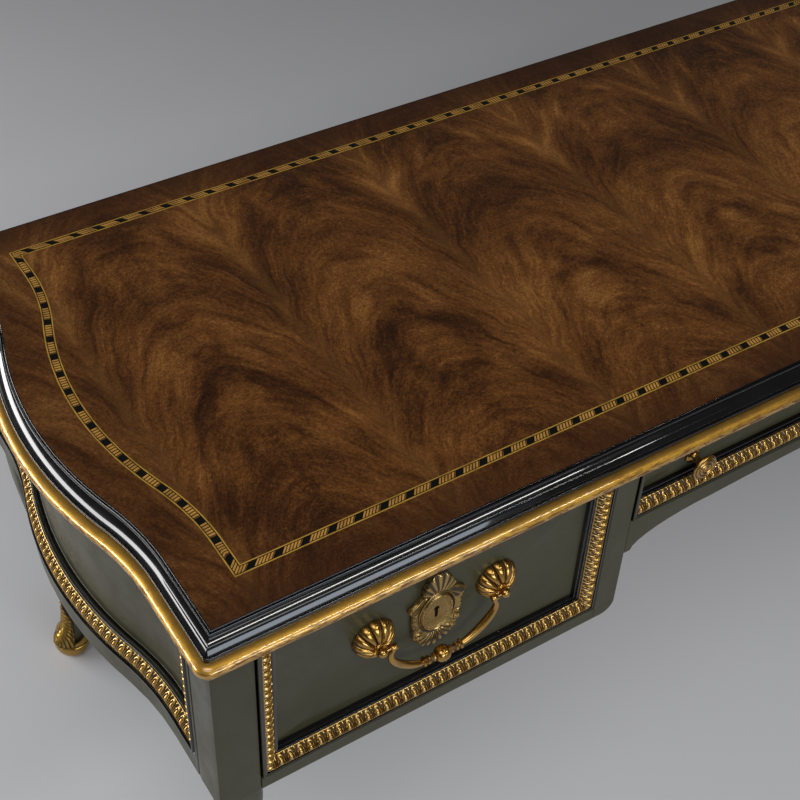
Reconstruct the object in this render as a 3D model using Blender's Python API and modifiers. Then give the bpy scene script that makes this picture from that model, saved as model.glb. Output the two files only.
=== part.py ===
# Writing desk with serpentine ends, an inlaid top, three drawers and four cabriole legs.
# Metres, +Z up, front towards -Y, origin on the floor under the middle of the top.
import math

import bmesh
import bpy
from mathutils import Matrix, Vector

# Overall sizes
desk_height = 0.762
top_thickness = 0.033
top_half_length = 0.8406       # middle to the veneer edge at a corner
top_half_depth = 0.327         # middle to the veneer edge
top_bulge = 0.0366             # swell of each end of the top
corner_straight = 0.0912       # straight run of an end beside each corner
swell_turn_share = 0.4         # share of the swell where its curve turns over
seat_gap = 0.0003              # clearance between neighbours
overrun = 0.004                # how far a cutter passes the face it cuts
merge_distance = 0.00001
end_stations = 16              # facets along a serpentine end

# Inlay
veneer_thickness = 0.002
banding_width = 0.012
banding_half_length = 0.7878   # middle to the banding's centre line at a corner
banding_half_depth = 0.2778
banding_bulge = 0.0405

# Edge moulding and bead, as reach out from and drop below the veneer edge
arris_reach = 0.0009
arris_drop = 0.0004
step_drop = 0.0042
fillet_reach = 0.0036
ovolo_reach = 0.0156
ovolo_drop = 0.0230
quirk_drop = 0.0243
bead_back = 0.0148
bead_reach = 0.0261
mitre_reach = 0.010            # beyond this reach the corners are rounded
corner_facets = 3
ovolo_facets = 5
bead_facets = 5

# Case
case_setout = 0.0123           # case face beyond the veneer edge
case_bulge = 0.034
post_size = 0.0486
end_thickness = 0.028
case_depth = 0.2808            # top of the desk down to the underside of its pedestals
bottom_thickness = 0.0189
top_rail_height = 0.009
top_rail_depth = 0.060
stile_width = 0.0291
stile_thickness = 0.022
kneehole_half_width = 0.339
kneehole_corner_radius = 0.018
side_thickness = 0.018
back_thickness = 0.028
apron_thickness = 0.020
centre_opening_height = 0.0855
apron_corner_drop = 0.0537     # drawer opening down to the kneehole's upper corners
apron_crown_drop = 0.0177      # drawer opening down to the arch in the middle
apron_ledge = 0.009
apron_cove_length = 0.115
apron_cove_share = 0.82        # share of the arch's rise that the coves take
apron_facets = 8
runner_width = 0.020
runner_height = 0.015

# Panel frames: rim, gilt moulding, black lip and sunk field
rim_width = 0.005
gilt_width = 0.0145
gilt_seat_depth = 0.0125
lip_width = 0.003
lip_depth = 0.0095
lip_step_width = 0.002
lip_step_depth = 0.0125
field_depth = 0.018
end_rim_width = 0.038          # flat olive border of an end panel, at its foot
end_stile_width = 0.012        # the same beside the corner posts
end_head_width = 0.012
gilt_shares = ((0, 0.10), (0.14, 0.02), (0.38, 0.08), (0.66, 0.28), (0.86, 0.52), (1, 0.70), (1, 1), (0, 1))

# Drawers
drawer_gap = 0.0012
front_thickness = 0.028
front_proud = 0.0015
box_side_clearance = 0.0015
box_side_thickness = 0.012
box_bottom_thickness = 0.006
box_bottom_lift = 0.012
groove_depth = 0.006
pedestal_box_length = 0.560
pedestal_box_height = 0.190
centre_box_length = 0.440
centre_box_height = 0.058

# Handles
pull_half_span = 0.0765        # drawer middle to a handle post
pull_lift = 0.0131             # drawer middle up to the bail's pivot
pull_standoff = 0.0195         # pivot in front of the sunk field
rosette_radius = 0.0250
rosette_height = 0.0130
rosette_lobes = 8
turned_facets = 16
lobe_share = 0.07
dome_steps = 5
ball_steps = 5
ball_start_degrees = -40       # the ball grows out of its neck from this angle round to its tip
shell_share = 0.16             # how much further the lobes reach upwards than down
post_radius = 0.0038
post_ring_radius = 0.0058
post_ball_radius = 0.0060
shank_radius = 0.0025
shank_hole_radius = 0.0029
shank_tail = 0.008
nut_radius = 0.0055
nut_thickness = 0.004
pivot_radius = 0.0018
pivot_hole_radius = 0.0023
eye_radius = 0.0046
eye_clearance = 0.0019         # space between an eye of the bail and the ball it hangs from
eye_bend = 0.006
wire_radius = 0.0031
bail_drop = 0.053
bail_ball_radius = 0.0082
bail_ring_radius = 0.0056
bail_neck_radius = 0.0030
bail_turned_half_length = 0.0240

# Escutcheon, lock and knobs
escutcheon_half_width = 0.034
escutcheon_half_height = 0.057
escutcheon_lift = 0.0176       # drawer middle up to the escutcheon's middle
escutcheon_rise = 0.0085
escutcheon_points = 30
keyhole_radius = 0.0022
keyhole_length = 0.0085
keyhole_lift = 0.0147          # drawer middle up to the keyhole
lock_width = 0.056
lock_height = 0.070
lock_thickness = 0.013
bolt_width = 0.010
bolt_thickness = 0.005
bolt_clearance = 0.0006
bolt_seat = 0.025              # length of bolt inside the lock at rest
bolt_margin = 0.003            # how far the drawn bolt stays below the rail
knob_inset = 0.093             # edge of the kneehole to a knob
knob_radius = 0.0165
knob_reach = 0.0262
knob_stem_radius = 0.0045
knob_rose_radius = 0.0095

# Cabriole legs and their gilt shoes
sabot_height = 0.124
sabot_inner_height = 0.058
sabot_wall = 0.0035
leg_points = 16
# share of the height below the case, outward shift and half width as shares of the post, squareness
leg_shares = (
    (1.00, 0.00, 0.500, 40), (0.985, -0.24, 0.484, 6), (0.92, -0.34, 0.490, 4.5), (0.81, -0.36, 0.463, 3.4),
    (0.69, -0.43, 0.401, 2.8), (0.58, -0.54, 0.340, 2.4), (0.44, -0.74, 0.298, 2.1), (0.30, -0.90, 0.272, 2.0),
    (0.22, -0.93, 0.268, 2.0), (0.14, -0.86, 0.309, 2.0), (0.09, -0.78, 0.370, 2.0))
# share of the shoe's height, outward shift and half width as shares of the post, squareness
pad_shares = ((0.22, -0.68, 0.530, 2), (0.11, -0.68, 0.550, 2), (0.03, -0.68, 0.490, 2), (0, -0.68, 0.410, 2))

# Colours as red, green and blue, then roughness and metallic
finishes = {
    "mahogany": ((0.115, 0.045, 0.020), 0.28, 0.0),
    "banding": ((0.42, 0.27, 0.10), 0.35, 0.0),
    "ebonised": ((0.010, 0.010, 0.013), 0.22, 0.0),
    "gilt": ((0.62, 0.36, 0.09), 0.32, 1.0),
    "olive": ((0.068, 0.070, 0.053), 0.38, 0.0),
    "drawer_wood": ((0.42, 0.28, 0.16), 0.55, 0.0),
    "brass": ((0.50, 0.32, 0.10), 0.30, 1.0),
    "steel": ((0.35, 0.34, 0.32), 0.40, 1.0),
}

# Places worked out from the sizes above
case_half_length = top_half_length + case_setout
case_half_depth = top_half_depth + case_setout
case_top = desk_height - top_thickness - seat_gap
opening_top = case_top - top_rail_height
pedestal_bottom = desk_height - case_depth
opening_bottom = pedestal_bottom + bottom_thickness
drawer_level = (opening_bottom + opening_top) / 2
pull_height = drawer_level + pull_lift
escutcheon_height = drawer_level + escutcheon_lift
keyhole_height = drawer_level + keyhole_lift
apron_top = opening_top - centre_opening_height
apron_corner = apron_top - apron_corner_drop
apron_crown = apron_top - apron_crown_drop
drawer_outer = case_half_length - post_size
drawer_inner = kneehole_half_width + stile_width
drawer_middle = (drawer_outer + drawer_inner) / 2
end_inner = case_half_length - end_thickness
rim_plane = -case_half_depth - front_proud
field_plane = rim_plane + field_depth
front_back = rim_plane + front_thickness
back_inner = case_half_depth - back_thickness
swell_reach = top_half_depth - corner_straight
pivot_plane = field_plane - pull_standoff
eye_half_span = pull_half_span - post_ball_radius - eye_radius - eye_clearance
knob_offset = kneehole_half_width - knob_inset


def clear_scene():
    for item in list(bpy.data.objects):
        bpy.data.objects.remove(item, do_unlink=True)


def make_collection(name):
    group = bpy.data.collections.new(name)
    bpy.context.scene.collection.children.link(group)
    return group


clear_scene()
desk = make_collection("writing_desk")
cutters = make_collection("cutters")


def make_finish(name, kind):
    colour, roughness, metallic = finishes[kind]
    finish = bpy.data.materials.new(name + "_finish")
    finish.use_nodes = True
    shader = finish.node_tree.nodes["Principled BSDF"]
    shader.inputs["Base Color"].default_value = (*colour, 1.0)
    shader.inputs["Roughness"].default_value = roughness
    shader.inputs["Metallic"].default_value = metallic
    finish.diffuse_color = (*colour, 1.0)
    return finish


def keep(name, bm, kind, smooth=None):
    bmesh.ops.remove_doubles(bm, verts=bm.verts, dist=merge_distance)
    bmesh.ops.recalc_face_normals(bm, faces=bm.faces)
    mesh = bpy.data.meshes.new(name)
    bm.to_mesh(mesh)
    bm.free()
    if smooth:
        mesh.shade_smooth()
        mesh.set_sharp_from_angle(angle=math.radians(smooth))
    part = bpy.data.objects.new(name, mesh)
    if kind is None:
        part.hide_render = True
        part.display_type = "WIRE"
        cutters.objects.link(part)
    else:
        mesh.materials.append(make_finish(name, kind))
        desk.objects.link(part)
    return part


def cut(part, tool):
    change = part.modifiers.new(tool.name, "BOOLEAN")
    change.operation = "DIFFERENCE"
    change.object = tool
    return part


def add_box(bm, low, high):
    size = [b - a for a, b in zip(low, high)]
    middle = [(a + b) / 2 for a, b in zip(low, high)]
    matrix = Matrix.Translation(middle) @ Matrix.Diagonal((*size, 1.0))
    bmesh.ops.create_cube(bm, size=1.0, matrix=matrix)


def box(name, low, high, kind):
    bm = bmesh.new()
    ordered = [sorted(pair) for pair in zip(low, high)]
    add_box(bm, [pair[0] for pair in ordered], [pair[1] for pair in ordered])
    return keep(name, bm, kind)


def rod(bm, radius, start, end, sides=16):
    axis = Vector(end) - Vector(start)
    turn = axis.to_track_quat("Z", "Y").to_matrix().to_4x4()
    place = Matrix.Translation((Vector(start) + Vector(end)) / 2) @ turn
    bmesh.ops.create_cone(bm, cap_ends=True, segments=sides, radius1=radius, radius2=radius,
                          depth=axis.length, matrix=place)


# The mesh that a curve or a modifier makes, with the object that drew it removed
def drawn_mesh(drawn):
    desk.objects.link(drawn)
    bpy.context.view_layer.update()
    mesh = bpy.data.meshes.new_from_object(drawn.evaluated_get(bpy.context.evaluated_depsgraph_get()))
    bm = bmesh.new()
    bm.from_mesh(mesh)
    bm.transform(drawn.matrix_world)
    bpy.data.objects.remove(drawn, do_unlink=True)
    return bm


# A flat outline as a filled 2D curve, turned into a mesh: drawn in XY, or in XZ when upright
def plate(name, outline, low, high, kind, upright=False):
    curve = bpy.data.curves.new(name, "CURVE")
    curve.dimensions = "2D"
    curve.fill_mode = "BOTH"
    curve.extrude = (high - low) / 2
    spline = curve.splines.new("POLY")
    spline.points.add(len(outline) - 1)
    for point, (a, b) in zip(spline.points, outline):
        point.co = (a, b, 0.0, 1.0)
    spline.use_cyclic_u = True
    drawn = bpy.data.objects.new(name + "_outline", curve)
    middle = (low + high) / 2
    if upright:
        drawn.matrix_world = Matrix.Translation((0, middle, 0)) @ Matrix.Rotation(math.radians(90), 4, "X")
    else:
        drawn.matrix_world = Matrix.Translation((0, 0, middle))
    return keep(name, drawn_mesh(drawn), kind)


# Skin over a row of rings with equal counts of points
def loft(name, rings, kind, closed=False, smooth=None, bm=None):
    finish_here = bm is None
    bm = bm or bmesh.new()
    loops = [[bm.verts.new(point) for point in ring] for ring in rings]
    pairs = list(zip(loops, loops[1:]))
    if closed:
        pairs.append((loops[-1], loops[0]))
    for first, second in pairs:
        for i in range(len(first)):
            j = (i + 1) % len(first)
            bm.faces.new((first[i], first[j], second[j], second[i]))
    if not closed:
        bm.faces.new(loops[0])
        bm.faces.new(loops[-1])
    if finish_here:
        return keep(name, bm, kind, smooth)


def swell(y, amount):
    t = min(max((swell_reach - abs(y)) / swell_reach, 0.0), 1.0)
    if t < swell_turn_share:
        return amount * t * t / swell_turn_share
    return amount * (1 - (1 - t) ** 2 / (1 - swell_turn_share))


# A point outside a serpentine end at the given distance along its normal
def end_point(y, half_length, bulge, out):
    step = merge_distance
    slope = (swell(y + step, bulge) - swell(y - step, bulge)) / (2 * step)
    length = math.hypot(1.0, slope)
    return (half_length + swell(y, bulge) + out / length, y - out * slope / length)


def end_rows():
    return [-swell_reach + 2 * swell_reach * i / end_stations for i in range(end_stations + 1)]


# Outline with two straight sides and two serpentine ends
def serpentine_outline(half_length, half_depth, bulge, out=0.0):
    right = [(half_length + out, -half_depth - out)]
    right += [end_point(y, half_length, bulge, out) for y in end_rows()]
    right += [(half_length + out, half_depth + out)]
    return right + [(-x, y) for x, y in reversed(right)]


# How far a corner of the edge reaches out, in X and in Y, at a given angle round the corner
def corner_reach(out, degrees):
    square = min(out, mitre_reach)
    angle = math.radians(degrees)
    return square + (out - square) * math.sin(angle), square + (out - square) * math.cos(angle)


# Sections of an edge profile all round the top, starting at the right front corner
def edge_rings(profile):
    turns = [90 * i / corner_facets for i in range(corner_facets + 1)]
    places = []
    for side_x, side_y in ((1, -1), (1, 1), (-1, 1), (-1, -1)):
        for turn in turns if side_x * side_y < 0 else turns[::-1]:
            places.append((side_x, side_y, turn))
        if side_y * side_x < 0:
            rows = end_rows() if side_x > 0 else end_rows()[::-1]
            places += [(side_x, None, y) for y in rows]
    rings = []
    for side_x, side_y, value in places:
        ring = []
        for out, drop in profile:
            if side_y is None:
                x, y = end_point(value, top_half_length, top_bulge, out)
                ring.append((side_x * x, y, desk_height - drop))
            else:
                reach_x, reach_y = corner_reach(out, value)
                ring.append((side_x * (top_half_length + reach_x), side_y * (top_half_depth + reach_y),
                             desk_height - drop))
        rings.append(ring)
    return rings


def edge_profile():
    profile = [(seat_gap, 0.0), (arris_reach, arris_drop), (arris_reach, step_drop)]
    for i in range(ovolo_facets + 1):
        angle = math.radians(90 * i / ovolo_facets)
        profile.append((fillet_reach + (ovolo_reach - fillet_reach) * math.sin(angle),
                        ovolo_drop - (ovolo_drop - step_drop) * math.cos(angle)))
    profile += [(ovolo_reach, quirk_drop), (bead_back - seat_gap, quirk_drop),
                (bead_back - seat_gap, top_thickness), (seat_gap, top_thickness)]
    return profile


def bead_profile():
    top = quirk_drop + seat_gap
    radius = (top_thickness - top) / 2
    profile = [(bead_back, top)]
    for i in range(bead_facets + 1):
        angle = math.radians(180 * i / bead_facets)
        profile.append((bead_reach - radius + radius * math.sin(angle), top + radius - radius * math.cos(angle)))
    profile.append((bead_back, top_thickness))
    return profile


def make_top():
    bottom = desk_height - top_thickness
    panel = plate("top_panel", serpentine_outline(top_half_length, top_half_depth, top_bulge),
                  bottom, desk_height, "mahogany")
    inlay = serpentine_outline(banding_half_length, banding_half_depth, banding_bulge, banding_width / 2)
    recess_depth = veneer_thickness + seat_gap
    cut(panel, plate("inlay_recess", inlay, desk_height - recess_depth, desk_height + overrun, None))
    low = desk_height - veneer_thickness
    field = serpentine_outline(banding_half_length, banding_half_depth, banding_bulge,
                               -banding_width / 2 - seat_gap)
    plate("veneer_field", field, low, desk_height, "mahogany")
    outer = serpentine_outline(banding_half_length, banding_half_depth, banding_bulge,
                               banding_width / 2 - seat_gap)
    inner = serpentine_outline(banding_half_length, banding_half_depth, banding_bulge, -banding_width / 2)
    rings = [[(a[0], a[1], low), (a[0], a[1], desk_height), (b[0], b[1], desk_height), (b[0], b[1], low)]
             for a, b in zip(outer, inner)]
    loft("inlay_banding", rings, "banding", closed=True)
    loft("edge_moulding", edge_rings(edge_profile()), "ebonised", closed=True, smooth=30)
    loft("gilt_bead", edge_rings(bead_profile()), "gilt", closed=True, smooth=40)


# A board lying in XZ with its face towards -Y, sunk in steps of inset and depth
def panelled_mesh(low_x, high_x, low_z, high_z, face_y, thickness, margins, steps):
    bm = bmesh.new()
    add_box(bm, (low_x, face_y, low_z), (high_x, face_y + thickness, high_z))
    bm.faces.ensure_lookup_table()
    face = min(bm.faces, key=lambda each: each.calc_center_median().y)
    left, right, foot, head = margins
    bmesh.ops.inset_region(bm, faces=[face], thickness=min(margins), use_even_offset=True)
    for vert in face.verts:
        vert.co.x = low_x + left if vert.co.x < (low_x + high_x) / 2 else high_x - right
        vert.co.z = low_z + foot if vert.co.z < (low_z + high_z) / 2 else high_z - head
    depth = 0.0
    for inset, target in steps:
        if inset:
            bmesh.ops.inset_region(bm, faces=[face], thickness=inset, use_even_offset=True)
        bmesh.ops.inset_region(bm, faces=[face], thickness=0.0, depth=depth - target)
        depth = target
    return bm


sink_steps = ((0, gilt_seat_depth), (gilt_width + seat_gap, lip_depth), (lip_width, lip_step_depth),
              (lip_step_width, field_depth))


# A mitred gilt frame lying in XZ with its face towards -Y, just inside the given opening
def frame_mesh(low_x, high_x, low_z, high_z, face_y):
    low_x, high_x = low_x + seat_gap, high_x - seat_gap
    low_z, high_z = low_z + seat_gap, high_z - seat_gap
    rings = []
    for right, upper in ((0, 0), (1, 0), (1, 1), (0, 1)):
        ring = []
        for inset_share, depth_share in gilt_shares:
            inset = (gilt_width - seat_gap) * inset_share
            x = high_x - inset if right else low_x + inset
            z = high_z - inset if upper else low_z + inset
            ring.append((x, face_y + (gilt_seat_depth - seat_gap) * depth_share, z))
        rings.append(ring)
    bm = bmesh.new()
    loft("frame", rings, None, closed=True, bm=bm)
    return bm


# Turn a board that faces -Y into one that faces outwards at the end, and swell it
def bend_to_end(bm, side):
    for y in end_rows():
        bmesh.ops.bisect_plane(bm, geom=bm.verts[:] + bm.edges[:] + bm.faces[:],
                               plane_co=(y, 0, 0), plane_no=(1, 0, 0), dist=merge_distance)
    for vert in bm.verts:
        along, depth, height = vert.co
        vert.co = (side * (case_half_length - depth + swell(along, case_bulge)), along, height)


def make_end(hand, side):
    half = case_half_depth - post_size - seat_gap
    margins = (end_stile_width, end_stile_width, end_rim_width, end_head_width)
    bm = panelled_mesh(-half, half, pedestal_bottom, case_top, 0.0, end_thickness, margins, sink_steps)
    bend_to_end(bm, side)
    keep(hand + "_end_panel", bm, "olive", smooth=25)
    bm = frame_mesh(-half + end_stile_width, half - end_stile_width,
                    pedestal_bottom + end_rim_width, case_top - end_head_width, 0.0)
    bend_to_end(bm, side)
    keep(hand + "_end_moulding", bm, "gilt", smooth=40)


def make_stile(hand, side):
    outer = drawer_inner
    inner = kneehole_half_width
    centre_x = inner + kneehole_corner_radius
    centre_z = pedestal_bottom + kneehole_corner_radius
    outline = [(outer, opening_top - seat_gap), (outer, pedestal_bottom)]
    for i in range(apron_facets + 1):
        angle = math.radians(90 * i / apron_facets)
        outline.append((centre_x - kneehole_corner_radius * math.sin(angle),
                        centre_z - kneehole_corner_radius * math.cos(angle)))
    outline.append((inner, opening_top - seat_gap))
    outline = [(side * x, z) for x, z in outline]
    plate(hand + "_front_stile", outline, -case_half_depth, -case_half_depth + stile_thickness, "olive",
          upright=True)


def make_pedestal(hand, side):
    front = -case_half_depth + stile_thickness + seat_gap
    back = back_inner - seat_gap
    inner = kneehole_half_width + side_thickness
    board = box(hand + "_pedestal_side", (side * kneehole_half_width, front, pedestal_bottom),
                (side * inner, back, case_top), "olive")
    cut(board, box(hand + "_rail_notch", (side * (kneehole_half_width - overrun), front - overrun,
                                          opening_top - seat_gap),
                   (side * (inner + overrun), -case_half_depth + top_rail_depth + seat_gap,
                    case_top + overrun), None))
    post_inner = case_half_depth - post_size - seat_gap
    edge = drawer_outer - seat_gap
    outline = [(edge, -case_half_depth), (drawer_inner + seat_gap, -case_half_depth),
               (drawer_inner + seat_gap, front), (inner + seat_gap, front), (inner + seat_gap, back), (edge, back),
               (edge, post_inner)]
    rows = [y for y in reversed(end_rows()) if abs(y) < post_inner]
    outline += [(end_inner - seat_gap, post_inner)]
    outline += [(end_inner - seat_gap + swell(y, case_bulge), y) for y in rows]
    outline += [(end_inner - seat_gap, -post_inner), (edge, -post_inner)]
    plate(hand + "_pedestal_bottom", [(side * x, y) for x, y in outline], pedestal_bottom,
          opening_bottom, "olive")


# The kneehole's arch from its right corner to its left corner
def arch_points(half_width):
    cove_start = half_width - apron_ledge
    cove_end = cove_start - apron_cove_length
    cove_rise = (apron_crown - apron_corner) * apron_cove_share
    points = [(half_width, apron_corner), (cove_start, apron_corner)]
    for i in range(1, apron_facets + 1):
        angle = math.radians(90 * i / apron_facets)
        points.append((cove_start - apron_cove_length * (1 - math.cos(angle)),
                       apron_corner + cove_rise * math.sin(angle)))
    for i in range(1, apron_facets + 1):
        share = i / apron_facets
        points.append((cove_end * (1 - share), apron_corner + cove_rise
                       + (apron_crown - apron_corner - cove_rise) * (1 - (1 - share) ** 2)))
    return points + [(-x, z) for x, z in reversed(points[:-1])]


def make_kneehole():
    half = kneehole_half_width - seat_gap
    outline = arch_points(half) + [(-half, apron_top), (half, apron_top)]
    plate("front_apron", outline, -case_half_depth, -case_half_depth + apron_thickness, "olive", upright=True)
    front = -case_half_depth + apron_thickness + seat_gap
    back = back_inner - seat_gap
    inner = half - runner_width
    outline = [(half, front), (inner, front), (inner, back - runner_width), (-inner, back - runner_width),
               (-inner, front), (-half, front), (-half, back), (half, back)]
    plate("centre_drawer_runners", outline, apron_top - runner_height, apron_top, "drawer_wood")


def make_top_rail():
    half = drawer_outer - seat_gap
    rail = box("front_top_rail", (-half, -case_half_depth, opening_top),
               (half, -case_half_depth + top_rail_depth, case_top), "olive")
    bm = bmesh.new()
    for side in (-1, 1):
        low_y = front_back + seat_gap + lock_thickness / 2 - bolt_thickness / 2 - bolt_clearance
        high_y = low_y + bolt_thickness + 2 * bolt_clearance
        half_slot = bolt_width / 2 + bolt_clearance
        add_box(bm, (side * drawer_middle - half_slot, low_y, opening_top - overrun),
                (side * drawer_middle + half_slot, high_y, case_top + overrun))
    cut(rail, keep("bolt_mortises", bm, None))


# The back has the front's silhouette and three false drawer panels
def back_fields():
    low, high = opening_bottom + drawer_gap, opening_top - drawer_gap
    wide = (drawer_inner + drawer_gap + rim_width, drawer_outer - drawer_gap - rim_width)
    pedestal = (low + rim_width, high - rim_width)
    narrow = kneehole_half_width - drawer_gap - rim_width
    centre = (apron_top + drawer_gap + rim_width, high - rim_width)
    return ((wide[0], wide[1], *pedestal), (-wide[1], -wide[0], *pedestal), (-narrow, narrow, *centre))


def make_back():
    half = drawer_outer - seat_gap
    outline = [(half, case_top), (half, pedestal_bottom), (kneehole_half_width, pedestal_bottom)]
    outline += arch_points(kneehole_half_width)
    outline += [(-kneehole_half_width, pedestal_bottom), (-half, pedestal_bottom), (-half, case_top)]
    back = plate("back_panel", outline, back_inner, case_half_depth, "olive", upright=True)
    bm = bmesh.new()
    border = gilt_width + lip_width
    for low_x, high_x, low_z, high_z in back_fields():
        add_box(bm, (low_x + border, case_half_depth - field_depth, low_z + border),
                (high_x - border, case_half_depth + overrun, high_z - border))
    cut(back, keep("back_sinks", bm, None))


def leg_ring(side_x, side_y, height, shift, half, squareness):
    centre_x = case_half_length - post_size / 2 + shift * math.sqrt(0.5)
    centre_y = case_half_depth - post_size / 2 + shift * math.sqrt(0.5)
    ring = []
    for i in range(leg_points):
        angle = 2 * math.pi * i / leg_points
        c, s = math.cos(angle), math.sin(angle)
        radius = half * (abs(c) ** squareness + abs(s) ** squareness) ** (-1 / squareness)
        ring.append((side_x * (centre_x + radius * c), side_y * (centre_y + radius * s), height))
    return ring


def leg_rings(side_x, side_y, shares, full_height, grow=0.0):
    rings = []
    for height_share, shift_share, half_share, squareness in shares:
        rings.append(leg_ring(side_x, side_y, height_share * full_height, shift_share * post_size,
                              half_share * post_size + grow, squareness))
    return rings


# The gilt shoe is the leg's foot grown by a wall, on a pad, with a slanted top and the foot cut out
def make_sabot(hand, side_x, side_y):
    cavity = leg_rings(side_x, side_y, leg_shares, pedestal_bottom, grow=seat_gap)
    cavity.append([(x, y, z - seat_gap) for x, y, z in cavity[-1]])
    cavity = loft(hand + "_shoe_cavity", cavity, None)
    covered = [row for row in leg_shares if row[0] * pedestal_bottom < sabot_height]
    above = leg_shares[len(leg_shares) - len(covered) - 1]
    rings = leg_rings(side_x, side_y, [above] + covered, pedestal_bottom, grow=sabot_wall)
    rings += leg_rings(side_x, side_y, pad_shares, sabot_height)
    bm = bmesh.new()
    loft("shoe", rings, None, bm=bm)
    diagonal = Vector((side_x, side_y, 0)).normalized()
    centre = Vector((side_x * (case_half_length - post_size / 2), side_y * (case_half_depth - post_size / 2), 0))
    ankle_shift = covered[0][1] * post_size
    ankle_half = covered[0][2] * post_size + sabot_wall
    outer = centre + diagonal * (ankle_shift + ankle_half) + Vector((0, 0, sabot_height))
    inner = centre + diagonal * (ankle_shift - ankle_half) + Vector((0, 0, sabot_inner_height))
    across = Vector((0, 0, 1)).cross(diagonal)
    normal = (outer - inner).cross(across).normalized()
    normal *= math.copysign(1, normal.z)
    trimmed = bmesh.ops.bisect_plane(bm, geom=bm.verts[:] + bm.edges[:] + bm.faces[:], plane_co=outer,
                                     plane_no=normal, clear_outer=True, dist=merge_distance)
    rim = [edge for edge in trimmed["geom_cut"] if isinstance(edge, bmesh.types.BMEdge)]
    bmesh.ops.contextual_create(bm, geom=rim)
    cut(keep(hand + "_sabot", bm, "gilt", smooth=40), cavity)


def make_leg(hand, side_x, side_y):
    rings = [leg_ring(side_x, side_y, case_top, 0.0, post_size / 2, leg_shares[0][3])]
    rings += leg_rings(side_x, side_y, leg_shares, pedestal_bottom)
    loft(hand + "_leg", rings, "olive", smooth=40)
    make_sabot(hand, side_x, side_y)


def place_under(parent, part, origin=None):
    if origin is not None:
        part.data.transform(Matrix.Translation([-value for value in origin]))
        part.location = origin
    part.parent = parent
    part.matrix_parent_inverse = Matrix.Translation([-value for value in parent.location])


def motion_point(name, location):
    point = bpy.data.objects.new(name, None)
    point.location = location
    desk.objects.link(point)
    return point


# Sides, back and bottom of a drawer behind its front, with the bottom held in grooves
def make_drawer_box(hand, low_x, high_x, floor, length, height, front):
    left, right = low_x + box_side_clearance, high_x - box_side_clearance
    start = front_back + seat_gap
    end = start + length
    bottom_low = floor + box_bottom_lift
    bottom_high = bottom_low + box_bottom_thickness
    reach = box_side_thickness - groove_depth
    parts = []
    for word, outer, inward in (("left", left, 1), ("right", right, -1)):
        inner = outer + inward * box_side_thickness
        side = box(hand + "_drawer_side_" + word, (outer, start, floor), (inner, end, floor + height),
                   "drawer_wood")
        groove = box(hand + "_groove_" + word, (outer + inward * reach, start - overrun, bottom_low - seat_gap),
                     (inner + inward * overrun, end + overrun, bottom_high + seat_gap), None)
        parts.append(cut(side, groove))
    inner_left, inner_right = left + box_side_thickness + seat_gap, right - box_side_thickness - seat_gap
    parts.append(box(hand + "_drawer_back", (inner_left, end - box_side_thickness, bottom_high + seat_gap),
                     (inner_right, end, floor + height), "drawer_wood"))
    parts.append(box(hand + "_drawer_bottom",
                     (left + reach + seat_gap, front_back - groove_depth + seat_gap, bottom_low),
                     (right - reach - seat_gap, end, bottom_high), "drawer_wood"))
    slot = box(hand + "_front_groove",
               (left + reach, front_back - groove_depth, bottom_low - seat_gap),
               (right - reach, front_back + overrun, bottom_high + seat_gap), None)
    cut(front, slot)
    return parts


def shank_holes(name, places):
    bm = bmesh.new()
    for x, z in places:
        rod(bm, shank_hole_radius, (x, field_plane - overrun, z), (x, front_back + overrun, z))
    return keep(name, bm, None)


# The first part of a turned fitting: threaded shank and round nut behind the drawer front
def shank_profile():
    nut_low = front_back + seat_gap - field_plane
    nut_high = nut_low + nut_thickness
    tail = nut_high + shank_tail
    return [(0, -tail), (shank_radius, -tail), (shank_radius, -nut_high), (nut_radius, -nut_high),
            (nut_radius, -nut_low), (shank_radius, -nut_low), (shank_radius, seat_gap)]


# A profile of radius and reach, turned about the line through a place on a drawer's field
def turned(name, profile, x, z):
    mesh = bpy.data.meshes.new(name)
    points = [(radius, 0.0, -reach) for radius, reach in profile]
    mesh.from_pydata(points, [(i, i + 1) for i in range(len(points) - 1)], [])
    spun = bpy.data.objects.new(name + "_profile", mesh)
    spun.matrix_world = Matrix.Translation((x, field_plane, z)) @ Matrix.Rotation(math.radians(-90), 4, "X")
    screw = spun.modifiers.new("spin", "SCREW")
    screw.steps = turned_facets
    screw.render_steps = turned_facets
    screw.use_merge_vertices = True
    screw.merge_threshold = merge_distance
    return drawn_mesh(spun)


# Gadrooned rosette, neck and ball in one casting
def make_mount(name, x, z):
    profile = shank_profile() + [(rosette_radius * 0.9, seat_gap)]
    for i in range(dome_steps):
        angle = math.radians(90 * i / dome_steps)
        profile.append((rosette_radius * math.cos(angle), rosette_height * (0.15 + 0.85 * math.sin(angle))))
    profile += [(post_radius, rosette_height), (post_radius, pull_standoff - post_ball_radius * 1.25),
                (post_ring_radius * 0.9, pull_standoff - post_ball_radius)]
    for i in range(ball_steps + 1):
        angle = math.radians(ball_start_degrees + (90 - ball_start_degrees) * i / ball_steps)
        profile.append((post_ball_radius * math.cos(angle) if i < ball_steps else 0.0,
                        pull_standoff + post_ball_radius * math.sin(angle)))
    bm = turned(name, profile, x, z)
    for vert in bm.verts:
        across, up = vert.co.x - x, vert.co.z - z
        if math.hypot(across, up) > nut_radius * 1.2:
            angle = math.atan2(up, across)
            growth = (1 + lobe_share * math.cos(rosette_lobes * angle)) * (1 + shell_share * math.sin(angle))
            vert.co.x = x + across * growth
            vert.co.z = z + up * growth
    mount = keep(name, bm, "brass", smooth=50)
    hole = bmesh.new()
    rod(hole, pivot_hole_radius, (x - 2 * post_ball_radius, pivot_plane, z),
        (x + 2 * post_ball_radius, pivot_plane, z))
    return cut(mount, keep(name + "_pivot_hole", hole, None))


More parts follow.
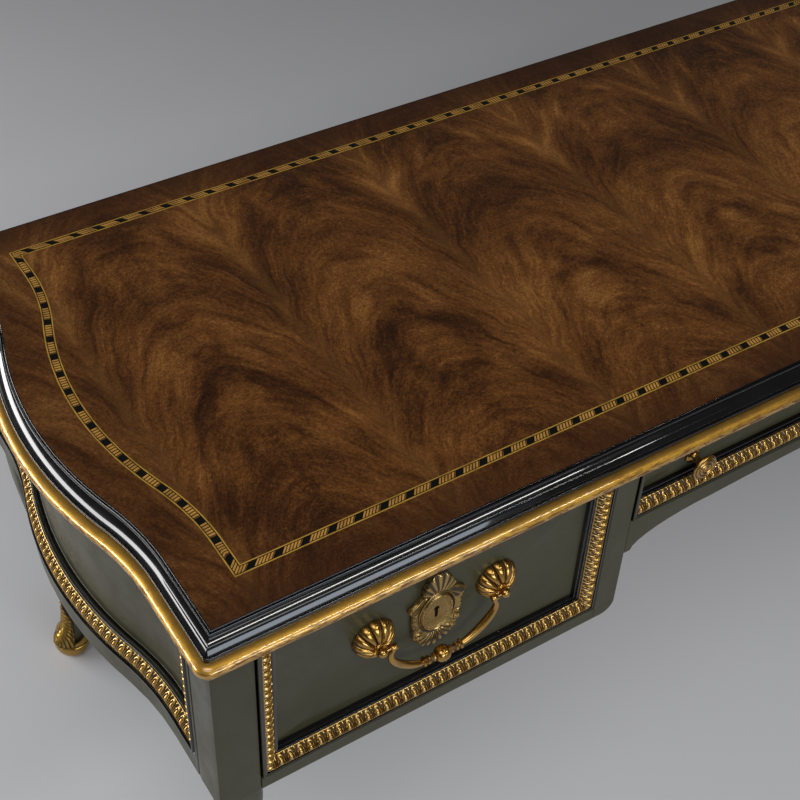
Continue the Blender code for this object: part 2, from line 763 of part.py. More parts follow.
# Swan-neck bail: one tube whose radius swells into eyes, rings and a centre ball
def make_bail(hand, middle):
    path = [(-pull_half_span - post_ball_radius / 2, 0.0, pivot_radius),
            (-eye_half_span - eye_radius, 0.0, pivot_radius),
            (-eye_half_span - eye_radius * 0.8, 0.0, eye_radius * 0.6),
            (-eye_half_span - eye_radius * 0.3, 0.0, eye_radius)]
    for i in range(4):
        angle = math.radians(90 * i / 3)
        path.append((-eye_half_span + eye_bend * math.sin(angle) * 0.6, -eye_bend * (1 - math.cos(angle)),
                     eye_radius - (eye_radius - wire_radius) * i / 3))
    start_x, start_z = path[-1][0], path[-1][1]
    end_x, end_z = -bail_turned_half_length, -bail_drop
    for i in range(1, 9):
        angle = math.radians(90 * i / 9)
        path.append((start_x + (end_x - start_x) * (1 - math.cos(angle)) ** 0.92,
                     start_z + (end_z - start_z) * math.sin(angle) ** 0.92, wire_radius))
    # share of the turned half length from the middle, then the radius there
    grip = ((1.00, wire_radius), (0.92, wire_radius), (0.88, bail_ring_radius * 0.8), (0.82, bail_ring_radius),
            (0.76, bail_ring_radius * 0.8), (0.70, bail_neck_radius), (0.62, bail_neck_radius),
            (0.58, bail_ring_radius), (0.52, bail_ring_radius), (0.47, bail_neck_radius),
            (0.36, bail_neck_radius), (0.32, bail_ball_radius * 0.52), (0.25, bail_ball_radius * 0.82),
            (0.13, bail_ball_radius * 0.97), (0.0, bail_ball_radius))
    path += [(-bail_turned_half_length * share, -bail_drop, radius) for share, radius in grip]
    path += [(-x, z, radius) for x, z, radius in reversed(path[:-1])]
    curve = bpy.data.curves.new(hand + "_bail_path", "CURVE")
    curve.dimensions = "3D"
    curve.bevel_depth = 1.0
    curve.bevel_resolution = 1
    curve.use_fill_caps = True
    spline = curve.splines.new("POLY")
    spline.points.add(len(path) - 1)
    for point, (x, z, radius) in zip(spline.points, path):
        point.co = (x, 0.0, z, 1.0)
        point.radius = radius
    drawn = bpy.data.objects.new(hand + "_bail_path", curve)
    drawn.matrix_world = Matrix.Translation((middle, pivot_plane, pull_height))
    return keep(hand + "_bail", drawn_mesh(drawn), "brass", smooth=50)


# Outline of the rococo plate as a radius for each angle
def escutcheon_radius(angle):
    wave = 1 + 0.045 * math.cos(8 * angle + 0.6) + 0.03 * math.cos(5 * angle) + 0.05 * math.sin(3 * angle)
    c, s = math.cos(angle) / escutcheon_half_width, math.sin(angle) / escutcheon_half_height
    return wave * 0.93 / math.hypot(c, s)


def make_escutcheon(hand, middle):
    oval_x, oval_z = escutcheon_half_width * 0.50, escutcheon_half_height * 0.44
    rise = escutcheon_rise
    levels = ((1.0, 0.0, 0.0), (1.0, 0.0, 0.45), (0.90, 0.0, 0.62), (0.55, 0.35, 0.70), (0.0, 1.12, 0.80),
              (0.0, 1.04, 1.0), (0.0, 0.92, 0.96), (0.0, 0.84, 0.72))
    rings = []
    for outline_share, oval_share, rise_share in levels:
        ring = []
        for i in range(escutcheon_points):
            angle = 2 * math.pi * i / escutcheon_points
            radius = escutcheon_radius(angle) * outline_share
            x = radius * math.cos(angle) + oval_x * oval_share * math.cos(angle)
            z = radius * math.sin(angle) + oval_z * oval_share * math.sin(angle)
            ring.append((middle + x, field_plane - seat_gap - rise * rise_share, escutcheon_height + z))
        rings.append(ring)
    plate_part = loft(hand + "_escutcheon", rings, "brass", smooth=40)
    bm = bmesh.new()
    rod(bm, keyhole_radius, (middle, field_plane - rise - overrun, keyhole_height),
        (middle, front_back + overrun, keyhole_height), sides=12)
    round_hole = keep(hand + "_keyhole_round", bm, None)
    slot = box(hand + "_keyhole_slot",
               (middle - keyhole_radius / 2, field_plane - rise - overrun, keyhole_height - keyhole_length),
               (middle + keyhole_radius / 2, front_back + overrun, keyhole_height), None)
    cut(cut(plate_part, round_hole), slot)
    return plate_part, (round_hole, slot)


def make_lock(hand, middle):
    low_y = front_back + seat_gap
    high_y = low_y + lock_thickness
    low_z = keyhole_height - lock_height / 2
    high_z = keyhole_height + lock_height / 2
    case = box(hand + "_lock", (middle - lock_width / 2, low_y, low_z), (middle + lock_width / 2, high_y, high_z),
               "steel")
    bolt_low_y = (low_y + high_y - bolt_thickness) / 2
    bolt_low_z = high_z - bolt_seat
    cut(case, box(hand + "_bolt_way",
                  (middle - bolt_width / 2 - bolt_clearance, bolt_low_y - bolt_clearance,
                   bolt_low_z - bolt_clearance),
                  (middle + bolt_width / 2 + bolt_clearance, bolt_low_y + bolt_thickness + bolt_clearance,
                   high_z + overrun), None))
    bolt = box(hand + "_lock_bolt", (middle - bolt_width / 2, bolt_low_y, bolt_low_z),
               (middle + bolt_width / 2, bolt_low_y + bolt_thickness, opening_top - bolt_margin), "steel")
    return case, bolt


def make_pedestal_drawer(hand, side):
    middle = side * drawer_middle
    half = (drawer_outer - drawer_inner) / 2 - drawer_gap
    low_x, high_x = middle - half, middle + half
    low_z, high_z = opening_bottom + drawer_gap, opening_top - drawer_gap
    motion = motion_point(hand + "_drawer_motion", (middle, -case_half_depth, (low_z + high_z) / 2))
    bm = panelled_mesh(low_x, high_x, low_z, high_z, rim_plane, front_thickness, (rim_width,) * 4, sink_steps)
    front = keep(hand + "_drawer_front", bm, "olive")
    bm = frame_mesh(low_x + rim_width, high_x - rim_width, low_z + rim_width, high_z - rim_width, rim_plane)
    parts = [front, keep(hand + "_drawer_moulding", bm, "gilt", smooth=40)]
    opening = (middle - half - drawer_gap, middle + half + drawer_gap)
    parts += make_drawer_box(hand, opening[0], opening[1], opening_bottom + seat_gap, pedestal_box_length,
                             pedestal_box_height, front)
    places = [(middle + way * pull_half_span, pull_height) for way in (-1, 1)]
    cut(front, shank_holes(hand + "_pull_holes", places))
    mounts = [make_mount(f"{hand}_handle_mount_{word}", x, z) for word, (x, z) in zip(("left", "right"), places)]
    escutcheon, keyholes = make_escutcheon(hand, middle)
    for tool in keyholes:
        cut(front, tool)
    lock, bolt = make_lock(hand, middle)
    for part in parts + mounts + [escutcheon, lock]:
        place_under(motion, part)
    place_under(motion, bolt, (middle, front_back, keyhole_height))
    place_under(motion, make_bail(hand, middle), (middle, pivot_plane, pull_height))


def make_knob(name, x, z):
    shares = ((knob_rose_radius, 0.0), (knob_rose_radius, 0.10), (knob_rose_radius * 0.6, 0.18),
              (knob_stem_radius, 0.26), (knob_stem_radius * 0.85, 0.45), (knob_stem_radius * 1.3, 0.62),
              (knob_radius * 0.80, 0.70), (knob_radius * 0.97, 0.76), (knob_radius, 0.82),
              (knob_radius * 0.94, 0.90), (knob_radius * 0.72, 0.93), (knob_radius * 0.55, 0.96),
              (knob_radius * 0.28, 0.99), (0.0, 1.0))
    profile = shank_profile() + [(radius, seat_gap + knob_reach * share) for radius, share in shares]
    return keep(name, turned(name, profile, x, z), "brass", smooth=40)


def make_centre_drawer():
    half = kneehole_half_width - drawer_gap
    low_z, high_z = apron_top + drawer_gap, opening_top - drawer_gap
    motion = motion_point("centre_drawer_motion", (0, -case_half_depth, (low_z + high_z) / 2))
    bm = panelled_mesh(-half, half, low_z, high_z, rim_plane, front_thickness, (rim_width,) * 4,
                       ((0, gilt_seat_depth),))
    front = keep("centre_drawer_front", bm, "olive")
    border = rim_width + gilt_width + lip_width
    sink = box("centre_field_sink", (-half + rim_width, rim_plane - overrun, low_z + border),
               (half - rim_width, field_plane, high_z - border), None)
    cut(front, sink)
    parts = [front]
    for word, low, way in (("lower", low_z + rim_width, 1), ("upper", high_z - rim_width, -1)):
        rings = []
        for x in (-half + rim_width + seat_gap, half - rim_width - seat_gap):
            rings.append([(x, rim_plane + (gilt_seat_depth - seat_gap) * depth_share,
                           low + way * (seat_gap + (gilt_width - seat_gap) * inset_share))
                          for inset_share, depth_share in gilt_shares])
        parts.append(loft(f"centre_drawer_{word}_moulding", rings, "gilt", smooth=40))
    parts += make_drawer_box("centre", -kneehole_half_width, kneehole_half_width, apron_top + seat_gap,
                             centre_box_length, centre_box_height, front)
    places = [(way * knob_offset, (low_z + high_z) / 2) for way in (-1, 1)]
    cut(front, shank_holes("knob_holes", places))
    parts += [make_knob(f"centre_knob_{word}", x, z) for word, (x, z) in zip(("left", "right"), places)]
    for part in parts:
        place_under(motion, part)


make_top()
make_top_rail()
make_kneehole()
make_back()
for hand, side in (("left", -1), ("right", 1)):
    make_end(hand, side)
    make_stile(hand, side)
    make_pedestal(hand, side)
    make_pedestal_drawer(hand, side)
    make_leg("front_" + hand, side, -1)
    make_leg("rear_" + hand, side, 1)
make_centre_drawer()
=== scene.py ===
import math

import bmesh
import bpy
from mathutils import Matrix, Vector


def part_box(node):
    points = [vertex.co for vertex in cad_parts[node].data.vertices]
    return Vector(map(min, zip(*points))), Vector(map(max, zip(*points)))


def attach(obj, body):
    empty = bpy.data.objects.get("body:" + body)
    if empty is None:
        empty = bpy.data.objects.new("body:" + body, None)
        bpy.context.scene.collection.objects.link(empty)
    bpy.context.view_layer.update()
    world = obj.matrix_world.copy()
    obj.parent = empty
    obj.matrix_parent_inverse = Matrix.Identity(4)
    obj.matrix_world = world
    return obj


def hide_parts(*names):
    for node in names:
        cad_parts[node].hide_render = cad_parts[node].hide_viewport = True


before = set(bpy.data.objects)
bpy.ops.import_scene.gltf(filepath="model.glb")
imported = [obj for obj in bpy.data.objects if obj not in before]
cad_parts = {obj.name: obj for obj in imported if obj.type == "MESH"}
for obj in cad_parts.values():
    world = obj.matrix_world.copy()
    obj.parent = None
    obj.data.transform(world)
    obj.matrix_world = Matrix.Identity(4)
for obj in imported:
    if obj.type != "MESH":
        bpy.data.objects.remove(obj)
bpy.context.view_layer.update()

# Sizes in metres that the desk's own shapes share
desk = {
    "height": 0.762, "halfLength": 0.8406, "halfDepth": 0.327, "topBulge": 0.0366, "cornerStraight": 0.0912,
    "turnShare": 0.4, "caseSetout": 0.0123, "caseBulge": 0.034, "post": 0.0486, "fieldDepth": 0.018,
    "seam": 0.0003, "weld": 0.000004,
}
swellReach = desk["halfDepth"] - desk["cornerStraight"]
caseHalfLength = desk["halfLength"] + desk["caseSetout"]
caseHalfDepth = desk["halfDepth"] + desk["caseSetout"]
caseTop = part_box("front_left_leg")[1].z
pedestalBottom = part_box("left_pedestal_bottom")[0].z
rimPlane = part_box("left_drawer_front")[0].y
fieldPlane = rimPlane + desk["fieldDepth"]


def put(value, socket):
    if isinstance(value, bpy.types.NodeSocket):
        socket.id_data.links.new(value, socket)
    else:
        socket.default_value = value


# A new node in the tree that the first linked value comes from
def nodeFor(kind, *values):
    tree = next(value.id_data for value in values if isinstance(value, bpy.types.NodeSocket))
    return tree.nodes.new(kind)


def calc(operation, *values):
    step = nodeFor("ShaderNodeMath", *values)
    step.operation = operation
    for value, socket in zip(values, step.inputs):
        put(value, socket)
    return step.outputs[0]


def times(first, second):
    return calc("MULTIPLY", first, second)


def plus(first, second):
    return calc("ADD", first, second)


def minus(first, second):
    return calc("SUBTRACT", first, second)


def over(first, second):
    return calc("DIVIDE", first, second)


def larger(first, second):
    return calc("MAXIMUM", first, second)


def timesPlus(first, factor, more):
    return calc("MULTIPLY_ADD", first, factor, more)


def squared(value):
    return calc("POWER", value, 2.0)


def blendColour(share, first, second, way="MIX"):
    step = nodeFor("ShaderNodeMix", share, first, second)
    step.data_type = "RGBA"
    step.blend_type = way
    put(share, step.inputs[0])
    put(first, step.inputs[6])
    put(second, step.inputs[7])
    return step.outputs[2]


def scaled(vector, scale):
    step = nodeFor("ShaderNodeMapping", vector)
    put(vector, step.inputs["Vector"])
    step.inputs["Scale"].default_value = scale
    return step.outputs[0]


def cloud(vector, scale, detail=3.0, rough=0.5, warp=0.0):
    step = nodeFor("ShaderNodeTexNoise", vector)
    put(vector, step.inputs["Vector"])
    put(scale, step.inputs["Scale"])
    step.inputs["Detail"].default_value = detail
    step.inputs["Roughness"].default_value = rough
    step.inputs["Distortion"].default_value = warp
    return step.outputs[0]


def between(value, low, high, newLow=0.0, newHigh=1.0):
    step = nodeFor("ShaderNodeMapRange", value)
    step.interpolation_type = "SMOOTHSTEP"
    for number, socket in zip((value, low, high, newLow, newHigh), step.inputs):
        put(number, socket)
    return step.outputs[0]


def tones(value, *stops):
    step = nodeFor("ShaderNodeValToRGB", value)
    put(value, step.inputs[0])
    ramp = step.color_ramp
    while len(ramp.elements) < len(stops):
        ramp.elements.new(0.5)
    for element, (place, colour) in zip(ramp.elements, stops):
        element.position = place
        element.color = (*colour, 1.0)
    return step.outputs[0]


def parts3(vector):
    step = nodeFor("ShaderNodeSeparateXYZ", vector)
    put(vector, step.inputs[0])
    return step.outputs


def joined3(x, y, z=0.0):
    step = nodeFor("ShaderNodeCombineXYZ", x, y, z)
    for value, socket in zip((x, y, z), step.inputs):
        put(value, socket)
    return step.outputs[0]


def bumpOf(height, distance):
    step = nodeFor("ShaderNodeBump", height)
    put(height, step.inputs["Height"])
    step.inputs["Distance"].default_value = distance
    return step.outputs[0]


def ownPlace(tree):
    return tree.nodes.new("ShaderNodeTexCoord").outputs["Object"]


def pieceValue(tree, name):
    step = tree.nodes.new("ShaderNodeAttribute")
    step.attribute_name = name
    return step.outputs["Fac"]


def newGroup(name, inputs, outputs):
    tree = bpy.data.node_groups.new(name, "ShaderNodeTree")
    for label, kind, value in inputs:
        socket = tree.interface.new_socket(name=label, in_out="INPUT", socket_type=kind)
        if value is not None:
            socket.default_value = value
    for label, kind in outputs:
        tree.interface.new_socket(name=label, in_out="OUTPUT", socket_type=kind)
    return tree, tree.nodes.new("NodeGroupInput").outputs, tree.nodes.new("NodeGroupOutput").inputs


def useGroup(tree, group, **values):
    step = tree.nodes.new("ShaderNodeGroup")
    step.node_tree = group
    for label, value in values.items():
        put(value, step.inputs[label])
    return step.outputs


def newFinish(name, **fixed):
    finish = bpy.data.materials.new(name)
    finish.use_nodes = True
    shader = finish.node_tree.nodes["Principled BSDF"]
    for label, value in fixed.items():
        shader.inputs[label.replace("_", " ")].default_value = value
    return finish, finish.node_tree, shader.inputs


vectorIn, floatIn = "NodeSocketVector", "NodeSocketFloat"


# Slow drift of tone, faint brush lines and dust nibs of a hand laid lacquer
def lacquerGroup():
    tree, given, out = newGroup("lacquerSurface", (("Place", vectorIn, None), ("Coarse", floatIn, 5.0)),
                                (("Drift", floatIn), ("Gloss", floatIn), ("Height", floatIn)))
    drift = cloud(given["Place"], given["Coarse"], 4.0, 0.6)
    put(between(drift, 0.3, 0.7), out["Drift"])
    put(cloud(given["Place"], 22.0, 3.0, 0.6), out["Gloss"])
    brushed = cloud(scaled(given["Place"], (9, 9, 160)), 1.0, 3.0, 0.6)
    nibs = cloud(given["Place"], 900.0, 1.0)
    put(timesPlus(nibs, 0.25, brushed), out["Height"])
    return tree


# Where leaf or gilding is rubbed through, where grime and painted shade sit in the hollows, and its fine
# surface
def leafGroup():
    tree, given, out = newGroup(
        "rubbedLeaf", (("Place", vectorIn, None), ("Recess", floatIn, 0.0), ("Rub", floatIn, 0.5)),
        (("Rubbed", floatIn), ("Grime", floatIn), ("Tone", floatIn), ("Height", floatIn)))
    broad = cloud(given["Place"], 34.0, 5.0, 0.65, 0.6)
    rubbed = plus(broad, timesPlus(given["Rub"], 0.5, -0.5))
    put(between(rubbed, 0.42, 0.62), out["Rubbed"])
    soot = timesPlus(cloud(given["Place"], 160.0, 4.0, 0.6), 0.5, -0.2)
    put(between(plus(given["Recess"], soot), 0.38, 0.66), out["Grime"])
    put(cloud(given["Place"], 70.0, 3.0, 0.6), out["Tone"])
    put(cloud(given["Place"], 620.0, 3.0, 0.6), out["Height"])
    return tree


# Book matched crotch figure: feathers leave each spine and meet as arches halfway to the next
def figureGroup():
    tree, given, out = newGroup(
        "crotchFigure", (("Place", vectorIn, None),),
        (("Figure", floatIn), ("Ray", floatIn), ("Pore", floatIn), ("Spine", floatIn)))
    leaf = 0.1125                                                   # half the width of one leaf of veneer
    drift = cloud(given["Place"], 4.5, 2.0, 0.5)
    ripple = cloud(given["Place"], 15.0, 2.0, 0.5)
    x, y, _ = parts3(given["Place"])
    wander = timesPlus(ripple, 0.030, -0.015)
    fromSeam = calc("PINGPONG", plus(x, wander), leaf)
    reach = minus(1.0, over(fromSeam, leaf))                        # 0 at the spine, 1 at the seam
    rise = minus(1.0, calc("POWER", minus(1.0, reach), 1.9))
    across = minus(y, times(rise, 0.17))
    across = plus(across, timesPlus(drift, 0.10, -0.05))
    side = calc("FLOOR", over(x, leaf))                             # each leaf differs a little
    shift = times(calc("ABSOLUTE", plus(side, 0.5)), 0.06)
    broad = cloud(joined3(times(across, 13.0), times(reach, 1.2), shift), 1.0, 4.0, 0.55, 0.9)
    streak = cloud(joined3(times(across, 80.0), times(reach, 4.0), shift), 1.0, 6.0, 0.68, 0.25)
    fine = cloud(joined3(times(across, 620.0), times(reach, 22.0)), 1.0, 4.0, 0.65)
    patch = cloud(given["Place"], 7.0, 2.0, 0.5)
    figure = timesPlus(broad, 0.50, times(streak, 0.26))
    figure = plus(figure, timesPlus(patch, 0.30, -0.12))
    mottle = cloud(given["Place"], 300.0, 4.0, 0.75)
    figure = plus(figure, timesPlus(mottle, 0.34, -0.17))
    put(timesPlus(fine, 0.26, figure), out["Figure"])
    put(streak, out["Ray"])
    pores = cloud(joined3(times(across, 640.0), times(reach, 48.0)), 1.0, 4.0, 0.7)
    put(between(pores, 0.48, 0.64), out["Pore"])
    put(between(reach, 0.0, 0.14, 1.0, 0.0), out["Spine"])
    return tree


# Half widths, middles and half heights of the carving's egg and shell, as shares of one unit
# The finish draws them, and the mesh cuts a slightly fuller egg
eggLook = {"shellHalf": 0.310, "shellFoot": 0.36, "shellRise": 0.53, "drawnEgg": (0.155, 0.38, 0.34),
           "cutEgg": (0.165, 0.37, 0.35), "dartFoot": 0.30}


# The carving's own drawing: a shell arching over each egg, with a dart between two shells; Groove is the
# painted shade of the grooves between them
def eggGroup():
    tree, given, out = newGroup("eggAndDart", (("Along", floatIn, 0.0), ("Across", floatIn, 0.0)),
                                (("Height", floatIn), ("Groove", floatIn)))
    rise = given["Across"]
    x = calc("ABSOLUTE", minus(calc("FRACT", given["Along"]), 0.5))
    above = over(minus(rise, eggLook["shellFoot"]), eggLook["shellRise"])
    shell = squared(over(x, eggLook["shellHalf"]))
    shell = calc("SQRT", plus(shell, squared(larger(above, 0.0))))
    shell = between(calc("ABSOLUTE", minus(shell, 1.0)), 0.05, 0.15, 1.0, 0.0)
    half, middle, tall = eggLook["drawnEgg"]
    egg = squared(over(x, half))
    egg = plus(egg, squared(over(minus(rise, middle), tall)))
    dome = calc("SQRT", larger(minus(1.0, egg), 0.0))
    egg = between(egg, 0.80, 1.15, 1.0, 0.0)
    spear = timesPlus(larger(minus(rise, eggLook["dartFoot"]), 0.0), 0.06, 0.02)
    dart = between(over(minus(0.5, x), spear), 0.6, 1.3, 1.0, 0.0)
    rails = larger(between(rise, 0.06, 0.09, 1.0, 0.0), between(rise, 0.93, 0.955))
    solid = larger(larger(shell, egg), larger(dart, rails))
    put(minus(1.0, solid), out["Groove"])
    carved = larger(times(shell, 0.8), times(dart, 0.7))
    carved = larger(carved, larger(dome, times(rails, 0.6)))
    put(carved, out["Height"])
    return tree


lacquerSurface = lacquerGroup()
rubbedLeaf = leafGroup()
crotchFigure = figureGroup()
eggAndDart = eggGroup()

veneerLook = {"dark": (0.0220, 0.0072, 0.0018), "mid": (0.074, 0.0242, 0.0053),
              "light": (0.205, 0.075, 0.0162), "glow": (0.45, 0.195, 0.048),
              "spine": (0.20, 0.086, 0.021, 1), "edge": (0.040, 0.0125, 0.0040, 1),
              "pore": (0.014, 0.005, 0.002, 1)}


def crotchMahogany():
    finish, tree, shader = newFinish("crotchMahogany", Coat_Weight=0.15, Coat_Roughness=0.14,
                                     Specular_IOR_Level=0.2)
    place = ownPlace(tree)
    figure = useGroup(tree, crotchFigure, Place=place)
    colour = tones(figure["Figure"], (0.36, veneerLook["dark"]), (0.47, veneerLook["mid"]),
                   (0.59, veneerLook["light"]), (0.73, veneerLook["glow"]))
    colour = blendColour(times(figure["Spine"], 0.40), colour, veneerLook["spine"])
    # the stain darkens towards the edges of the top
    x, y, _ = parts3(place)
    turned = calc("COSINE", times(y, math.pi / swellReach))
    edgeX = timesPlus(turned, -desk["topBulge"] / 2, calc("ABSOLUTE", x))
    nearEnd = between(edgeX, desk["halfLength"] - 0.10, desk["halfLength"] + 0.02)
    nearFront = between(calc("ABSOLUTE", y), desk["halfDepth"] - 0.09, desk["halfDepth"])
    edge = larger(times(nearEnd, 0.45), times(nearFront, 0.75))
    colour = blendColour(edge, colour, veneerLook["edge"])
    colour = blendColour(times(figure["Pore"], 0.60), colour, veneerLook["pore"])
    put(colour, shader["Base Color"])
    put(between(figure["Ray"], 0.3, 0.7, 0.30, 0.42), shader["Roughness"])
    put(bumpOf(figure["Pore"], -0.00006), shader["Normal"])
    return finish


bandLook = {"string": 0.12, "line": 0.085, "block": 0.34, "stripes": 5, "shift": 0.67,
            "yellow": (0.62, 0.36, 0.055, 1), "satinwood": (0.66, 0.34, 0.075, 1),
            "rosewood": (0.040, 0.018, 0.006, 1), "black": (0.006, 0.006, 0.004, 1)}


# Along counts whole repeats and across runs from the outer string to the inner one
def stringingBand():
    finish, tree, shader = newFinish("stringingBand", Coat_Weight=0.10, Coat_Roughness=0.16,
                                     Specular_IOR_Level=0.2)
    along, across = pieceValue(tree, "along"), pieceValue(tree, "across")
    middle = calc("ABSOLUTE", minus(across, 0.5))
    stringMask = calc("GREATER_THAN", middle, 0.5 - bandLook["string"])
    lineMask = calc("GREATER_THAN", middle, 0.5 - bandLook["string"] - bandLook["line"])
    repeat = calc("FRACT", plus(along, bandLook["shift"]))
    blockMask = calc("LESS_THAN", repeat, bandLook["block"])
    inside = over(minus(repeat, bandLook["block"]), 1 - bandLook["block"])
    wave = calc("SINE", times(inside, 2 * math.pi * bandLook["stripes"]))
    stripe = between(wave, -0.75, -0.1)
    grain = cloud(scaled(ownPlace(tree), (60, 60, 60)), 1.0, 4.0, 0.6)
    colour = blendColour(stripe, bandLook["rosewood"], bandLook["satinwood"])
    colour = blendColour(blockMask, colour, bandLook["black"])
    colour = blendColour(lineMask, colour, bandLook["black"])
    colour = blendColour(stringMask, colour, bandLook["yellow"])
    colour = blendColour(between(grain, 0.3, 0.8, 0.0, 0.5), colour, (0.10, 0.055, 0.022, 1), "MULTIPLY")
    put(colour, shader["Base Color"])
    put(between(grain, 0.3, 0.7, 0.32, 0.42), shader["Roughness"])
    put(bumpOf(lineMask, -0.00005), shader["Normal"])
    return finish


def ebonisedWood():
    finish, tree, shader = newFinish("ebonisedWood", Coat_Weight=1.0, Coat_Roughness=0.04,
                                     Specular_IOR_Level=0.12)
    place = ownPlace(tree)
    surface = useGroup(tree, lacquerSurface, Place=place, Coarse=8.0)
    colour = blendColour(surface["Drift"], (0.0020, 0.0020, 0.0022, 1), (0.0050, 0.0050, 0.0055, 1))
    along = pieceValue(tree, "along")
    dashes = cloud(joined3(times(along, 210.0), 0.0), 1.0, 2.0, 0.7)
    clumps = cloud(place, 6.0, 2.0)
    # pale dashes on the arrises and scattered dots: partly wear, partly painted glints of a broken highlight
    wearAndGlints = times(between(dashes, 0.66, 0.74), between(clumps, 0.50, 0.62))
    wearAndGlints = times(wearAndGlints, between(pieceValue(tree, "arris"), 0.75, 0.95))
    dots = between(cloud(place, 420.0, 0.0), 0.885, 0.900)
    wearAndGlints = larger(wearAndGlints, times(dots, between(clumps, 0.48, 0.60)))
    colour = blendColour(wearAndGlints, colour, (0.42, 0.40, 0.36, 1))
    put(colour, shader["Base Color"])
    put(timesPlus(wearAndGlints, 0.4, between(surface["Gloss"], 0.3, 0.7, 0.12, 0.24)), shader["Roughness"])
    put(bumpOf(timesPlus(wearAndGlints, -1.5, surface["Height"]), 0.00002), shader["Normal"])
    return finish


def olivePaint():
    finish, tree, shader = newFinish("olivePaint", Coat_Weight=0.12, Coat_Roughness=0.10,
                                     Specular_IOR_Level=0.3)
    place = ownPlace(tree)
    surface = useGroup(tree, lacquerSurface, Place=place, Coarse=4.0)
    colour = blendColour(surface["Drift"], (0.038, 0.0355, 0.0145, 1), (0.047, 0.0440, 0.0178, 1))
    cloudy = between(cloud(place, 28.0, 4.0, 0.65), 0.45, 0.75)
    colour = blendColour(times(cloudy, 0.35), colour, (0.028, 0.026, 0.0110, 1))
    put(colour, shader["Base Color"])
    put(between(surface["Gloss"], 0.3, 0.7, 0.32, 0.46), shader["Roughness"])
    put(bumpOf(surface["Height"], 0.00012), shader["Normal"])
    return finish


hatchPitch = 0.0017     # from rib to rib of the cast plate's ground


def leafFinish(name, bright, deep, soil, rub, roughness, coat, streaky=False, cast=False, carved=False):
    finish, tree, shader = newFinish(name, Coat_Roughness=0.05, Coat_IOR=1.75)
    place = ownPlace(tree)
    leaf = useGroup(tree, rubbedLeaf, Place=place, Recess=pieceValue(tree, "recess"), Rub=rub)
    colour = blendColour(leaf["Tone"], (*deep, 1), (*bright, 1))
    rubbed = times(leaf["Rubbed"], 0.6)
    if streaky:
        along, across = pieceValue(tree, "along"), pieceValue(tree, "across")
        lines = cloud(joined3(times(along, 60.0), times(across, 9.0)), 1.0, 4.0, 0.70, 0.8)
        lower = times(between(across, 0.24, 0.44), between(across, 0.84, 0.90, 1.0, 0.0))
        streaks = times(between(timesPlus(lower, 0.03, lines), 0.51, 0.57), timesPlus(lower, 0.50, 0.40))
        rubbed = larger(times(rubbed, 0.4), streaks)
    colour = blendColour(rubbed, colour, (*soil, 1))
    if streaky:
        colour = blendColour(between(across, 0.90, 0.94), colour, (0.70, 0.52, 0.33, 1))
    dirtAndShade = tuple(part * 0.12 for part in soil)
    grimeAndShade, height = leaf["Grime"], leaf["Height"]
    if carved:
        along, across = pieceValue(tree, "along"), pieceValue(tree, "across")
        drawing = useGroup(tree, eggAndDart, Along=along, Across=across)
        # the drawn grooves of the carving are darkened as painted shade
        grimeAndShade = larger(times(grimeAndShade, 0.35), drawing["Groove"])
        height = timesPlus(drawing["Height"], 5.0, height)
    # grime and painted shade darken the hollows and grooves
    colour = blendColour(times(grimeAndShade, 0.94), colour, (*dirtAndShade, 1))
    put(colour, shader["Base Color"])
    bare = larger(times(rubbed, 0.45), times(grimeAndShade, 0.9))
    put(minus(1.0, bare), shader["Metallic"])
    dull = larger(grimeAndShade, times(rubbed, 0.85))
    put(times(minus(1.0, dull), coat), shader["Coat Weight"])
    rough = timesPlus(leaf["Tone"], 0.12, roughness - 0.06)
    put(timesPlus(bare, 0.30, rough), shader["Roughness"])
    if cast:
        x, _, z = parts3(place)
        ribs = calc("SINE", times(plus(x, z), 2 * math.pi / hatchPitch))
        ribs = times(ribs, times(pieceValue(tree, "hatched"), 6.0))
        pits = times(cloud(place, 760.0, 1.0), times(pieceValue(tree, "pitted"), 16.0))
        height = plus(height, plus(ribs, pits))
    put(bumpOf(height, 0.00007), shader["Normal"])
    return finish


def plainTimber(name, pale, dark, roughness, run):
    finish, tree, shader = newFinish(name)
    place = ownPlace(tree)
    scale = [110.0, 110.0, 110.0]
    scale[run] = 6.0
    lines = cloud(scaled(place, scale), 1.0, 4.0, 0.62, 0.5)
    broad = cloud(scaled(place, [value / 9 for value in scale]), 1.0, 3.0, 0.5, 1.2)
    value = timesPlus(lines, 0.45, times(broad, 0.55))
    put(tones(value, (0.32, dark), (0.66, pale)), shader["Base Color"])
    put(between(lines, 0.3, 0.7, roughness, roughness + 0.15), shader["Roughness"])
    put(bumpOf(lines, 0.0002), shader["Normal"])
    return finish


def brushedSteel():
    finish, tree, shader = newFinish("lockSteel")
    place = ownPlace(tree)
    lines = cloud(scaled(place, (40, 900, 900)), 1.0, 3.0, 0.6)
    stain = between(cloud(place, 60.0, 4.0, 0.6), 0.5, 0.75)
    put(blendColour(stain, (0.36, 0.35, 0.33, 1), (0.14, 0.11, 0.08, 1)), shader["Base Color"])
    put(minus(1.0, times(stain, 0.5)), shader["Metallic"])
    put(between(lines, 0.2, 0.8, 0.26, 0.48), shader["Roughness"])
    put(bumpOf(lines, 0.00005), shader["Normal"])
    return finish


